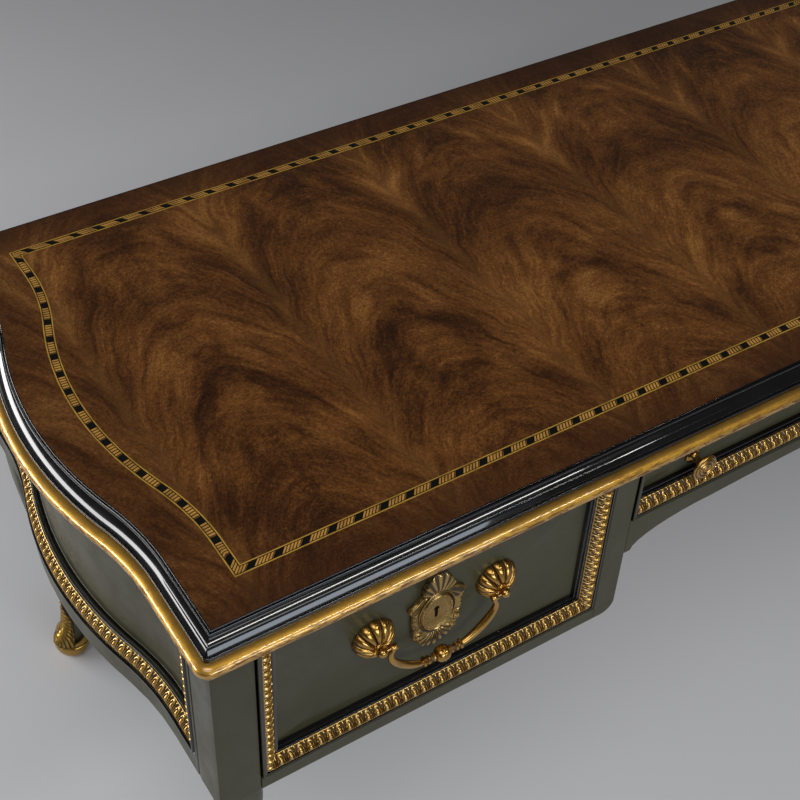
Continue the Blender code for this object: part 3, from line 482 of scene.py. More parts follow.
mahogany = crotchMahogany()
band = stringingBand()
black = ebonisedWood()
olive = olivePaint()
bole = (0.130, 0.046, 0.009)
beadGold = leafFinish("beadGold", (0.74, 0.42, 0.058), (0.47, 0.235, 0.024), bole, 0.38, 0.46, 1.0,
                      streaky=True)
carvedGold = leafFinish("carvedGold", (0.86, 0.52, 0.095), (0.56, 0.30, 0.042), bole, 0.35, 0.27, 1.0,
                        carved=True)
shoeGold = leafFinish("shoeGold", (0.56, 0.33, 0.052), (0.27, 0.150, 0.022), (0.060, 0.034, 0.010),
                      0.50, 0.30, 0.12)
antiqueBrass = leafFinish("antiqueBrass", (0.58, 0.315, 0.052), (0.31, 0.158, 0.023), (0.070, 0.034, 0.008),
                          0.42, 0.24, 0.40)
castBrass = leafFinish("castBrass", (0.56, 0.37, 0.125), (0.30, 0.19, 0.058), (0.060, 0.036, 0.012),
                       0.45, 0.24, 0.05, cast=True)
drawerWood = {run: plainTimber("drawerWood" + "XYZ"[run], (0.50, 0.33, 0.18), (0.27, 0.16, 0.080), 0.48, run)
              for run in (0, 1)}
steel = brushedSteel()
print("finishes ready")


def swellOut(y, amount):
    t = min(max((swellReach - abs(y)) / swellReach, 0.0), 1.0)
    turn = desk["turnShare"]
    if t < turn:
        return amount * t * t / turn
    return amount * (1 - (1 - t) ** 2 / (1 - turn))


# A point outside a serpentine end, by its distance out along the curve's normal
def endPoint(y, halfLength, bulge, out):
    step = 0.0001
    slope = (swellOut(y + step, bulge) - swellOut(y - step, bulge)) / (2 * step)
    length = math.hypot(1.0, slope)
    return halfLength + swellOut(y, bulge) + out / length, y - out * slope / length


def endRows(count):
    return [-swellReach + 2 * swellReach * i / count for i in range(count + 1)]


# A grid whose rows are laid on closed sections and welded; the ends of an open path are capped
def sweep(bm, sections, closedPath=False, values=None):
    layers = {key: bm.verts.layers.float.get(key) or bm.verts.layers.float.new(key) for key in (values or {})}
    across, along = len(sections[0]), len(sections)
    columns, rows = across + 1, along + closedPath
    verts = bmesh.ops.create_grid(bm, x_segments=columns - 1, y_segments=rows - 1, size=1.0)["verts"]
    for index, vert in enumerate(verts):
        row, column = index // columns % along, index % columns % across
        vert.co = sections[row][column]
        for key, layer in layers.items():
            vert[layer] = values[key][row][column]
    bmesh.ops.remove_doubles(bm, verts=verts, dist=desk["weld"])
    if not closedPath:
        bmesh.ops.holes_fill(bm, edges=[edge for edge in bm.edges if edge.is_boundary], sides=0)


def finishPiece(name, bm, body, finishes, smooth=None, replaced=(), weld=desk["weld"]):
    if weld:
        bmesh.ops.remove_doubles(bm, verts=bm.verts, dist=weld)
        bmesh.ops.recalc_face_normals(bm, faces=bm.faces)
    mesh = bpy.data.meshes.new(name)
    bm.to_mesh(mesh)
    bm.free()
    for finish in finishes:
        mesh.materials.append(finish)
    if smooth:
        mesh.shade_smooth()
        mesh.set_sharp_from_angle(angle=math.radians(smooth))
    piece = bpy.data.objects.new(name, mesh)
    bpy.context.scene.collection.objects.link(piece)
    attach(piece, body)
    if replaced:
        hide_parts(*replaced)
    return piece


def pieceName(nodeName):
    first, *others = nodeName.split("_")
    return first + "".join(word.capitalize() for word in others)


# A CAD solid merged, with soft edges; pick gives each face its finish by the face's middle
def dressed(nodeName, body, finishes, bevel, pick=None):
    bm = bmesh.new()
    bm.from_mesh(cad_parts[nodeName].data)
    bmesh.ops.remove_doubles(bm, verts=bm.verts, dist=0.00002)
    bmesh.ops.dissolve_limit(bm, angle_limit=math.radians(0.6), verts=bm.verts, edges=bm.edges)
    for face in bm.faces:
        face.material_index = pick(face.calc_center_median()) if pick else 0
    piece = finishPiece(pieceName(nodeName), bm, body, finishes, 25, (nodeName,), weld=0)
    soften = piece.modifiers.new("softEdges", "BEVEL")
    soften.width = bevel
    soften.segments = 2
    soften.limit_method = "ANGLE"
    soften.angle_limit = math.radians(30)
    soften.use_clamp_overlap = True
    soften.harden_normals = False


def repaint(nodeName, finish):
    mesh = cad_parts[nodeName].data
    mesh.materials.clear()
    mesh.materials.append(finish)


edgeLook = {
    "ovoloReach": 0.0156, "quirkDrop": 0.0243, "beadBack": 0.0148, "beadReach": 0.0258, "bottom": 0.033,
    "beadBottom": 0.0418, "beadTurn": 156, "filletFoot": 0.0428, "mitreReach": 0.010, "cornerSteps": 9,
    "endSteps": 72, "ovoloSteps": 12, "ovoloTurn": (34, 62), "beadSteps": 18,
}
# Reach, drop and pale flecks of the mouldings above and below the ovolo; the flecks are partly wear and
# partly painted glints of the highlight
edgeTop = ((0.0003, 0.0, 0.2), (0.0008, 0.0001, 1.0), (0.0013, 0.0005, 1.0), (0.0015, 0.0013, 0.4),
           (0.0015, 0.0022, 0.0), (0.0020, 0.0024, 0.0), (0.0021, 0.0017, 0.2), (0.0026, 0.0013, 1.0),
           (0.0033, 0.0014, 1.0), (0.0038, 0.0020, 0.6), (0.0040, 0.0030, 0.0), (0.0040, 0.0050, 0.0),
           (0.0046, 0.0053, 0.2))
edgeFoot = ((0.0139, 0.0156, 0.0), (0.0137, 0.0161, 0.0), (0.0134, 0.0163, 0.0), (0.0134, 0.0190, 0.0),
            (0.0146, 0.0191, 0.0), (0.0153, 0.0196, 0.0), (0.0156, 0.0206, 0.0))


def cornerReach(out, degrees):
    square = min(out, edgeLook["mitreReach"])
    angle = math.radians(degrees)
    return square + (out - square) * math.sin(angle), square + (out - square) * math.cos(angle)


# Places all round the top, starting in the middle of the front; each turns a reach into x and y
def edgeRoute():
    turns = [90 * i / edgeLook["cornerSteps"] for i in range(edgeLook["cornerSteps"] + 1)]
    route = [("front", 0.0)]
    for sideX, sideY in ((1, -1), (1, 1), (-1, 1), (-1, -1)):
        order = turns if sideX * sideY < 0 else turns[::-1]
        route += [("corner", (sideX, sideY, turn)) for turn in order]
        if sideX * sideY < 0:
            rows = endRows(edgeLook["endSteps"])
            route += [("end", (sideX, y)) for y in (rows if sideX > 0 else rows[::-1])]
    return route + [("front", -0.0006)]


def routePoint(kind, value, out):
    if kind == "front":
        return value, -desk["halfDepth"] - out
    if kind == "end":
        x, y = endPoint(value[1], desk["halfLength"], desk["topBulge"], out)
        return value[0] * x, y
    reachX, reachY = cornerReach(out, value[2])
    return value[0] * (desk["halfLength"] + reachX), value[1] * (desk["halfDepth"] + reachY)


def makeEdge(name, profile, finish, replaced, marks):
    bm = bmesh.new()
    sections, alongs, distance, last = [], [], 0.0, None
    for kind, value in edgeRoute():
        sections.append([(*routePoint(kind, value, out), desk["height"] - drop) for out, drop in profile])
        here = Vector(routePoint(kind, value, edgeLook["ovoloReach"]))
        distance += (here - last).length if last else 0.0
        last = here
        alongs.append([distance] * len(profile))
    values = {"along": alongs}
    for key, numbers in marks.items():
        values[key] = [numbers] * len(sections)
    sweep(bm, sections, closedPath=True, values=values)
    finishPiece(name, bm, "case", [finish], 40, replaced)


def edgeProfile():
    look = edgeLook
    profile, arris = [(desk["seam"], 0.0012)], [0.0]
    outLow, dropHigh, _ = edgeTop[-1]
    outHigh, dropLow, _ = edgeFoot[0]
    ovolo = []
    first, last = (math.radians(angle) for angle in look["ovoloTurn"])
    for i in range(1, look["ovoloSteps"]):
        angle = first + (last - first) * i / look["ovoloSteps"]
        out = (math.sin(angle) - math.sin(first)) / (math.sin(last) - math.sin(first))
        drop = (math.cos(first) - math.cos(angle)) / (math.cos(first) - math.cos(last))
        ovolo.append((outLow + (outHigh - outLow) * out, dropHigh + (dropLow - dropHigh) * drop, 0.0))
    for out, drop, wearAndGlints in (*edgeTop, *ovolo, *edgeFoot):
        profile.append((out, drop))
        arris.append(wearAndGlints)
    profile += [(look["ovoloReach"], look["quirkDrop"]), (look["beadBack"] - desk["seam"], look["quirkDrop"]),
                (look["beadBack"] - desk["seam"], look["bottom"]), (desk["seam"], look["bottom"])]
    return profile, arris + [0.0] * 4


# Reach and drop of the thin fillet under the bead
beadFillet = ((0.0203, 0.0410), (0.0209, 0.0410), (0.0214, 0.0414), (0.0216, 0.0419), (0.0214, 0.0424),
              (0.0207, 0.0428))


def beadProfile():
    look = edgeLook
    top = look["quirkDrop"] + desk["seam"]
    half, reach = (look["beadBottom"] - top) / 2, look["beadReach"] - look["beadBack"]
    profile, across = [], []
    for i in range(look["beadSteps"] + 1):
        angle = math.radians(look["beadTurn"] * i / look["beadSteps"])
        fullness = 1.0 if angle < math.pi / 2 else 0.8
        out = look["beadBack"] + reach * math.sin(angle) ** fullness
        profile.append((out, top + half - half * math.cos(angle)))
        across.append(0.88 * i / look["beadSteps"])
    profile += list(beadFillet) + [(look["beadBack"], look["filletFoot"])]
    return profile, across + [0.96] * len(beadFillet) + [1.0]


bandSize = {"halfLength": 0.7878, "halfDepth": 0.2778, "bulge": 0.0405, "width": 0.012, "depth": 0.002,
            "pitch": 0.030, "steps": 72, "parts": 24}


# The banding's along value counts whole repeats on each of its four sides
def makeBanding():
    size = bandSize
    half = size["width"] / 2
    sections, alongs, count = [], [], 0
    for sign, straight in ((1, False), (1, True), (-1, False), (-1, True)):
        places = []
        rows = [-size["halfDepth"]] + endRows(size["steps"]) + [size["halfDepth"]]
        for part in range(size["parts"] + 1) if straight else rows:
            pair = []
            for out in (half - desk["seam"], -half):
                if straight:
                    x = (size["halfLength"] + out) * (1 - 2 * part / size["parts"])
                    pair.append((sign * x, sign * (size["halfDepth"] + out)))
                else:
                    x, y = endPoint(part, size["halfLength"], size["bulge"], out)
                    corner = abs(part) > swellReach + desk["weld"]
                    pair.append((sign * x, sign * (part + math.copysign(1, part) * out if corner else y)))
            places.append(pair)
        middle = [Vector(((a[0] + b[0]) / 2, (a[1] + b[1]) / 2)) for a, b in places]
        lengths = [0.0]
        for a, b in zip(middle, middle[1:]):
            lengths.append(lengths[-1] + (b - a).length)
        repeats = round(lengths[-1] / size["pitch"])
        for pair, length in list(zip(places, lengths))[:-1]:
            a, b = pair
            low = desk["height"] - size["depth"]
            sections.append([(*a, low), (*a, desk["height"]), (*b, desk["height"]), (*b, low)])
            alongs.append([count + repeats * length / lengths[-1]] * 4)
        count += repeats
    # the last section lies just short of the first, so that the along value never runs backwards
    sections.append([(x - 0.0001, y, z) for x, y, z in sections[0]])
    alongs.append([count] * 4)
    across = [[0.0, 0.0, 1.0, 1.0]] * len(sections)
    bm = bmesh.new()
    sweep(bm, sections, closedPath=True, values={"along": alongs, "across": across})
    finishPiece("inlayBanding", bm, "case", [band], None, ("inlay_banding",))


profile, arris = edgeProfile()
makeEdge("edgeMoulding", profile, black, ("edge_moulding",), {"arris": arris})
profile, across = beadProfile()
makeEdge("gildedBead", profile, beadGold, ("gilt_bead",), {"across": across})
makeBanding()
repaint("top_panel", mahogany)
repaint("veneer_field", mahogany)
print("top made")


carving = {"width": 0.0145, "seatDepth": 0.0125, "pitch": 0.0116, "relief": 0.0026, "mitreFade": 0.0012,
           "sunk": 0.0084, "sunkShare": 0.32,
           "rows": (0.0, 0.06, 0.11, 0.24, 0.38, 0.51, 0.60, 0.68, 0.75, 0.82, 0.88, 0.92, 0.96, 1.0),
           "stations": (0.0, 0.06, 0.11, 0.155, 0.195, 0.235, 0.275, 0.33, 0.41, 0.5, 0.59, 0.67, 0.725,
                        0.765, 0.805, 0.845, 0.89, 0.94)}
ovoloDepth = ((0.0, 0.10), (0.14, 0.02), (0.38, 0.08), (0.66, 0.28), (0.86, 0.52), (1.0, 0.70))


def steps(table, value):
    for (a, low), (b, high) in zip(table, table[1:]):
        if value <= b:
            share = (value - a) / (b - a)
            return low + (high - low) * share
    return table[-1][1]


# Height of the carving: u runs along one unit, v across the moulding from its rim to the panel
def eggHeight(u, v):
    x = abs(u - 0.5)
    if v < 0.07 or v > 0.95:
        return 0.62 if v < 0.07 else 0.50
    half, middle, tall = eggLook["cutEgg"]
    egg = 1 - (x / half) ** 2 - ((v - middle) / tall) ** 2
    height = 0.20 + 0.95 * math.sqrt(egg) if egg > 0 else 0.0
    # the shell arches over the egg
    around = math.hypot(x / eggLook["shellHalf"], max(0.0, v - eggLook["shellFoot"]) / eggLook["shellRise"])
    height = max(height, 1.05 * math.exp(-((around - 1) / 0.155) ** 2))
    spear = 0.045 + 0.075 * max(0.0, v - eggLook["dartFoot"])      # the dart widens towards the panel
    return max(height, 0.95 * math.exp(-((0.5 - x) / spear) ** 2) * min(1.0, (0.95 - v) / 0.05))


# One straight run of points (along, inset, depth, values), mitred at both ends when asked
# Values are the recess, which darkens the carving's hollows as grime and painted shade, the place counted in
# units from the nearer end, and the place across
def carvedRun(length, mitred):
    units = max(1, round(length / carving["pitch"]))
    unit = length / units
    stations = [unit * (i + part) for i in range(units) for part in carving["stations"]] + [length]
    width, seat = carving["width"] - desk["seam"], carving["seatDepth"] - desk["seam"]
    run = []
    for place in stations:
        section = []
        for v in carving["rows"]:
            inset = width * v
            along = min(max(place, inset), length - inset) if mitred else place
            toMitre = min(along - inset, length - inset - along) if mitred else unit
            height = eggHeight((along / unit) % 1.0, v)
            height *= min(1.0, max(0.0, toMitre / carving["mitreFade"]))
            depth = seat * steps(ovoloDepth, v) + carving["relief"] * (0.66 - height)
            values = (1 - min(1.0, height), min(along, length - along) / unit, v)
            section.append((along, inset, max(depth, 0.0), values))
        for v in (1.0, 0.0):
            inset = width * v
            along = min(max(place, inset), length - inset) if mitred else place
            section.append((along, inset, seat, (1.0, 0.0, v)))
        run.append(section)
    return run


def runValues(run):
    return {key: [[point[3][i] for point in section] for section in run]
            for i, key in enumerate(("recess", "along", "across"))}


# A frame of four mitred runs, or of three with a flatter one set back above them
# put3d turns a place across, a place up and a depth into the desk's own place
def carvedFrame(name, lowX, highX, lowZ, highZ, put3d, body, replaced=(), sunkTop=False):
    gap = desk["seam"]
    lowX, highX, lowZ, highZ = lowX + gap, highX - gap, lowZ + gap, highZ - gap
    cut = highZ
    if sunkTop:
        highZ += carving["width"]
    wide, tall = carvedRun(highX - lowX, True), carvedRun(highZ - lowZ, True)
    sections, runs = [], []
    for run, place in ((wide, lambda a, i: (lowX + a, lowZ + i)),
                       (tall, lambda a, i: (highX - i, lowZ + a)),
                       (wide, lambda a, i: (highX - a, highZ - i)),
                       (tall, lambda a, i: (lowX + i, highZ - a))):
        for section in run[:-1]:
            sections.append([put3d(*place(along, inset), depth) for along, inset, depth, _ in section])
            runs.append(section)
    bm = bmesh.new()
    sweep(bm, sections, closedPath=True, values=runValues(runs))
    if sunkTop:
        bmesh.ops.bisect_plane(bm, geom=bm.verts[:] + bm.edges[:] + bm.faces[:], plane_co=(0, 0, cut),
                               plane_no=(0, 0, 1), clear_outer=True)
        bmesh.ops.edgeloop_fill(bm, edges=[edge for edge in bm.edges if edge.is_boundary])
        start = lowX + carving["width"]
        length = highX - carving["width"] - start
        run = carvedRun(length, False)
        sections = [[put3d(start + along, cut - inset, carving["sunk"] + depth * carving["sunkShare"])
                     for along, inset, depth, _ in section] for section in run]
        sweep(bm, sections, values=runValues(run))
    bmesh.ops.dissolve_degenerate(bm, edges=bm.edges, dist=desk["weld"])
    finishPiece(name, bm, body, [carvedGold], 75, replaced)


def carvedStrip(name, lowX, highX, z, way, body, replaced):
    gap = desk["seam"]
    bm = bmesh.new()
    run = carvedRun(highX - lowX - 2 * gap, False)
    sections = [[(lowX + gap + along, rimPlane + depth, z + way * (gap + inset))
                 for along, inset, depth, _ in section] for section in run]
    sweep(bm, sections, values=runValues(run))
    finishPiece(name, bm, body, [carvedGold], 75, replaced)


def onFront(x, z, depth):
    return x, rimPlane + depth, z


def onBack(x, z, depth):
    return x, caseHalfDepth - depth, z


def onEnd(side):
    return lambda along, height, depth: (side * (caseHalfLength - depth + swellOut(along, desk["caseBulge"])),
                                         along, height)


panels = {"rim": 0.005, "endStile": 0.012, "endFoot": 0.038, "endHead": 0.012, "border": 0.0175,
          "blackFrom": 0.0085, "drawerField": 0.0178, "endField": 0.0174}
drawerBox = {hand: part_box(hand + "_drawer_front") for hand in ("left", "right", "centre")}
endHalf = caseHalfDepth - desk["post"] - desk["seam"]
for hand, side in (("left", -1), ("right", 1)):
    low, high = drawerBox[hand]
    rim = panels["rim"]
    carvedFrame(hand + "DrawerMoulding", low.x + rim, high.x - rim, low.z + rim, high.z - rim, onFront,
                hand + "_drawer", (hand + "_drawer_moulding",), True)
    carvedFrame(hand + "EndMoulding", -endHalf + panels["endStile"], endHalf - panels["endStile"],
                pedestalBottom + panels["endFoot"], caseTop - panels["endHead"], onEnd(side), "case",
                (hand + "_end_moulding",), True)
low, high = drawerBox["centre"]
for word, z, way in (("lower", low.z + panels["rim"], 1), ("upper", high.z - panels["rim"], -1)):
    carvedStrip(f"centre{word.capitalize()}Moulding", low.x + panels["rim"], high.x - panels["rim"], z, way,
                "centre_drawer", (f"centre_drawer_{word}_moulding",))


# A rectangular frame swept round with mitred corners; profile points are inset and depth
def framed(name, box, profile, put3d, body, finish, parts=1):
    lowX, lowZ, highX, highZ = box
    sections = []
    for side in range(4):
        for part in range(parts):
            share = part / parts
            section = []
            for inset, depth in profile:
                corners = ((lowX + inset, lowZ + inset), (highX - inset, lowZ + inset),
                           (highX - inset, highZ - inset), (lowX + inset, highZ - inset))
                (ax, az), (bx, bz) = corners[side], corners[(side + 1) % 4]
                section.append(put3d(ax + (bx - ax) * share, az + (bz - az) * share, depth))
            sections.append(section)
    bm = bmesh.new()
    sweep(bm, sections, closedPath=True)
    finishPiece(name, bm, body, [finish], 35)


# Black steps between the carving and the panel, with a thin arris that catches the light
lipProfile = ((0.0, 0.0175), (0.0, 0.0091), (0.0004, 0.0086), (0.0010, 0.0086), (0.0013, 0.0093),
              (0.0027, 0.0093), (0.0028, 0.0118), (0.0032, 0.0113), (0.0039, 0.0113), (0.0043, 0.0121),
              (0.0052, 0.0124), (0.0054, 0.0150), (0.0054, 0.0175))
# The drawers' rounded edge, and a flat black strip between it and the carving that paints the shadow line
# there
drawerBeadProfile = ((0.0, 0.0020), (0.0, -0.0002), (0.0004, -0.0010), (0.0012, -0.0014), (0.0021, -0.0012),
                     (0.0027, -0.0004), (0.0028, 0.0020))
shadowLineProfile = ((0.0028, 0.0020), (0.0028, -0.0001), (0.0050, -0.0001), (0.0050, 0.0020))
# The flat fillet, bead and quirk round the carving of the ends
endBeadProfile = ((-0.0072, 0.0010), (-0.0072, -0.0003), (-0.0058, -0.0003), (-0.0056, -0.0001),
                  (-0.0050, -0.0001), (-0.0048, -0.0014), (-0.0042, -0.0021), (-0.0032, -0.0021),
                  (-0.0024, -0.0015), (-0.0022, -0.0001), (-0.0007, -0.0001), (-0.0005, -0.0005),
                  (0.0, -0.0005), (0.0, 0.0010))
sideBox = (-endHalf + panels["endStile"], pedestalBottom + panels["endFoot"], endHalf - panels["endStile"],
           caseTop - panels["endHead"])


def shrunk(box, amount):
    return box[0] + amount, box[1] + amount, box[2] - amount, box[3] - amount


for hand, side in (("left", -1), ("right", 1)):
    lipBox = shrunk(sideBox, carving["width"])
    framed(hand + "EndLip", lipBox, lipProfile, onEnd(side), "case", black, 40)
    framed(hand + "EndBead", sideBox, endBeadProfile, onEnd(side), "case", black, 40)
for hand in ("left", "right", "centre"):
    low, high = drawerBox[hand]
    box = (low.x, low.z, high.x, high.z)
    framed(hand + "DrawerBead", box, drawerBeadProfile, onFront, hand + "_drawer", olive)
    # a black strip painted as the shadow line beside the carving
    framed(hand + "DrawerQuirk", box, shadowLineProfile, onFront, hand + "_drawer", black)
    if hand == "centre":
        for word, z, way in (("Lower", low.z, 1), ("Upper", high.z, -1)):
            inset = panels["rim"] + carving["width"]
            ends = [[(x, rimPlane + depth, z + way * (inset + out)) for out, depth in lipProfile]
                    for x in (low.x + panels["rim"], high.x - panels["rim"])]
            bm = bmesh.new()
            sweep(bm, ends)
            finishPiece("centre" + word + "Lip", bm, "centre_drawer", [black], 35)
    else:
        framed(hand + "DrawerLip", shrunk(box, panels["rim"] + carving["width"]), lipProfile, onFront,
               hand + "_drawer", black)


def backFields():
    low, high = drawerBox["right"]
    middle, top = drawerBox["centre"]
    rim = panels["rim"]
    yield "Right", low.x + rim, high.x - rim, low.z + rim, high.z - rim
    yield "Left", -high.x + rim, -low.x - rim, low.z + rim, high.z - rim
    yield "Middle", middle.x + rim, top.x - rim, middle.z + rim, top.z - rim


for word, lowX, highX, lowZ, highZ in backFields():
    sunk = panels["border"]
    carvedFrame("back" + word + "Moulding", lowX + sunk, highX - sunk, lowZ + sunk, highZ - sunk, onBack,
                "case")
    if word != "Middle":
        box = shrunk((lowX, lowZ, highX, highZ), sunk + carving["width"])
        framed("back" + word + "Lip", box, lipProfile, onBack, "case", black)
print("mouldings carved")


# The walls between the carving's seat and the field are black
def drawerPick(place):
    depth = place.y - rimPlane
    return 1 if panels["blackFrom"] < depth < panels["drawerField"] else 0


def endPick(place):
    depth = caseHalfLength + swellOut(place.y, desk["caseBulge"]) - abs(place.x)
    return 1 if panels["blackFrom"] < depth < panels["endField"] else 0


def dressPaint(nodeName, bevel):
    dressed(nodeName, "case", [olive], bevel)


def dressDrawer(hand):
    body = hand + "_drawer"
    dressed(body + "_front", body, [olive, black], 0.0006, drawerPick)
    for word, run in (("_side_left", 1), ("_side_right", 1), ("_back", 0), ("_bottom", 0)):
        dressed(body + word, body, [drawerWood[run]], 0.0006)


for hand in ("left", "right"):
    dressed(hand + "_end_panel", "case", [olive, black], 0.0006, endPick)
    for word in ("_front_stile", "_pedestal_side", "_pedestal_bottom"):
        dressPaint(hand + word, 0.0007)
    dressDrawer(hand)
    dressed(hand + "_lock", hand + "_drawer", [steel], 0.0006)
    dressed(hand + "_lock_bolt", hand + "_bolt", [steel], 0.0004)
dressPaint("front_top_rail", 0.0005)
dressPaint("front_apron", 0.0007)
dressPaint("back_panel", 0.0007)
dressed("centre_drawer_runners", "case", [drawerWood[1]], 0.0006)
dressDrawer("centre")
print("case and drawers dressed")


legShape = {"points": 48, "rowsPerStep": 4}
# Height as a share of the leg, outward shift and half width in posts, and squareness
legRows = (
    (1.00, 0.00, 0.500, 24), (0.985, -0.24, 0.484, 6), (0.92, -0.34, 0.490, 4.5),
    (0.81, -0.36, 0.463, 3.4), (0.69, -0.43, 0.401, 2.8), (0.58, -0.54, 0.340, 2.4),
    (0.44, -0.74, 0.298, 2.1), (0.30, -0.90, 0.272, 2.0), (0.22, -0.93, 0.268, 2.0),
    (0.14, -0.86, 0.309, 2.0), (0.09, -0.78, 0.370, 2.0), (0.05, -0.72, 0.34, 2.0),
)


# Smooth values between the rows of a table whose first column falls
def eased(table, column, value):
    i = 0
    while i < len(table) - 2 and value < table[i + 1][0]:
        i += 1
    low, high = table[i], table[i + 1]
    before, after = table[max(i - 1, 0)], table[min(i + 2, len(table) - 1)]
    t = (value - low[0]) / (high[0] - low[0])
    a, b = low[column], high[column]
    slopeA = (b - before[column]) / max(before[0] - high[0], 1e-6) * (low[0] - high[0])
    slopeB = (after[column] - a) / max(low[0] - after[0], 1e-6) * (low[0] - high[0])
    return ((2 * t ** 3 - 3 * t ** 2 + 1) * a + (t ** 3 - 2 * t ** 2 + t) * slopeA
            + (3 * t ** 2 - 2 * t ** 3) * b + (t ** 3 - t ** 2) * slopeB)


def legPoint(sideX, sideY, height, angle, shift, half, squareness):
    centreX = caseHalfLength - desk["post"] / 2 + shift * math.sqrt(0.5)
    centreY = caseHalfDepth - desk["post"] / 2 + shift * math.sqrt(0.5)
    c, s = math.cos(angle), math.sin(angle)
    radius = half * (abs(c) ** squareness + abs(s) ** squareness) ** (-1 / squareness)
    return sideX * (centreX + radius * c), sideY * (centreY + radius * s), height


def legRing(sideX, sideY, share):
    post = desk["post"]
    shift, half, squareness = (eased(legRows, column, share) for column in (1, 2, 3))
    return [legPoint(sideX, sideY, share * pedestalBottom, 2 * math.pi * i / legShape["points"], shift * post,
                     half * post, max(squareness, 2.0)) for i in range(legShape["points"])]


def makeLeg(hand, sideX, sideY):
    rings = [legRing(sideX, sideY, 1.0)]
    rings[0] = [(x, y, caseTop) for x, y, z in rings[0]]
    shares = [1.0]
    for (high, *_), (low, *_) in zip(legRows, legRows[1:]):
        count = 3 if high - low < 0.05 else legShape["rowsPerStep"]
        shares += [high + (low - high) * i / count for i in range(1, count + 1)]
    rings += [legRing(sideX, sideY, share) for share in shares]
    bm = bmesh.new()
    sweep(bm, rings)
    finishPiece(pieceName(hand + "_leg"), bm, "case", [olive], 38, (hand + "_leg",))


# Height, outward shift and half width of the shoe as shares of the post
shoeRows = ((0.1444, -0.90, 0.336), (0.1059, -0.93, 0.336), (0.0674, -0.86, 0.378), (0.0500, -0.80, 0.440),
            (0.0360, -0.72, 0.520), (0.0240, -0.68, 0.535), (0.0130, -0.68, 0.500), (0.0045, -0.68, 0.410),
            (0.0, -0.68, 0.300))
shoe = {"points": 120, "rows": 56, "tip": 0.124, "side": 0.094, "notch": 0.040, "heel": 0.056, "flute": 0.20,
        "girth": 0.030, "fan": 0.046, "swirl": -22.0, "leafEdge": 98, "leafSlant": 22.0, "cup": 0.031,
        "cupGroove": 0.0024, "relief": 0.0036, "lobe": 0.050, "scroll": 0.043, "scrollTurn": 44,
        "scrollRadius": 0.0055, "metresPerDegree": 0.00040}


# Height of the shoe's rim: a leaf over the outer side, a cut at each flank, then a low heel
def shoeRim(turn):
    degrees = abs(math.degrees(turn))
    edge = shoe["leafEdge"]
    if degrees < edge:
        share = degrees / edge
        scallop = 0.003 * abs(math.cos(share * math.pi * 3.5))
        return shoe["tip"] + (shoe["side"] - shoe["tip"]) * share ** 1.3 + scallop - 0.003
    slant = shoe["leafSlant"]
    if degrees < edge + slant:
        share = (degrees - edge) / slant
        scallop = 0.004 * math.sin(share * math.pi) * math.cos(share * math.pi * 6)
        return shoe["side"] - 0.003 + (shoe["notch"] - shoe["side"] + 0.003) * share + scallop
    share = (degrees - edge - slant) / (180 - edge - slant)
    return shoe["notch"] + (shoe["heel"] - shoe["notch"]) * share ** 1.6


# Curved flutes leave the rib of the leaf, over a toe lobe, a scroll and a plain cup; the second value darkens
# the low places as grime and painted shade
def shoeRelief(turn, z):
    degrees = abs(math.degrees(turn))
    if z < shoe["cup"]:
        lip = math.exp(-((z - shoe["cup"] + 0.0022) / 0.0013) ** 2)
        return 0.30 + 0.35 * lip, 0.12
    if z < shoe["cup"] + shoe["cupGroove"]:
        return 0.05, 0.95
    across = degrees / shoe["leafEdge"]
    side, rise = math.radians(degrees) * shoe["girth"], z - shoe["fan"]
    reach = math.hypot(side, rise)
    line = math.atan2(side, rise) + shoe["swirl"] * reach
    flute = 0.5 + 0.5 * math.cos(2 * math.pi * line / shoe["flute"])
    flute = flute ** 0.8 * min(1.0, across / 0.12) * min(1.0, max(0.0, reach - 0.006) / 0.005)
    moat = math.exp(-((math.hypot(degrees / 30, (z - shoe["lobe"]) / 0.0135) - 1) / 0.22) ** 2)
    rib = math.exp(-(degrees / 7.5) ** 2)
    lobe = math.exp(-((z - shoe["lobe"]) / 0.011) ** 2 - (degrees / 26) ** 2)
    fromScroll = math.hypot((degrees - shoe["scrollTurn"]) * shoe["metresPerDegree"], z - shoe["scroll"])
    volute = math.exp(-((fromScroll - shoe["scrollRadius"]) / 0.0018) ** 2)
    boss = math.exp(-(fromScroll / 0.0024) ** 2)
    if degrees > shoe["leafEdge"] + shoe["leafSlant"] * (shoe["side"] - z) / (shoe["side"] - shoe["notch"]):
        return 0.25, 0.2
    height = max(0.85 * flute, 0.95 * rib, 1.5 * lobe, 1.15 * volute, 1.2 * boss)
    height *= 1 - 0.8 * moat * (volute < 0.3)
    return height, max(0.0, 0.95 - 1.25 * height)


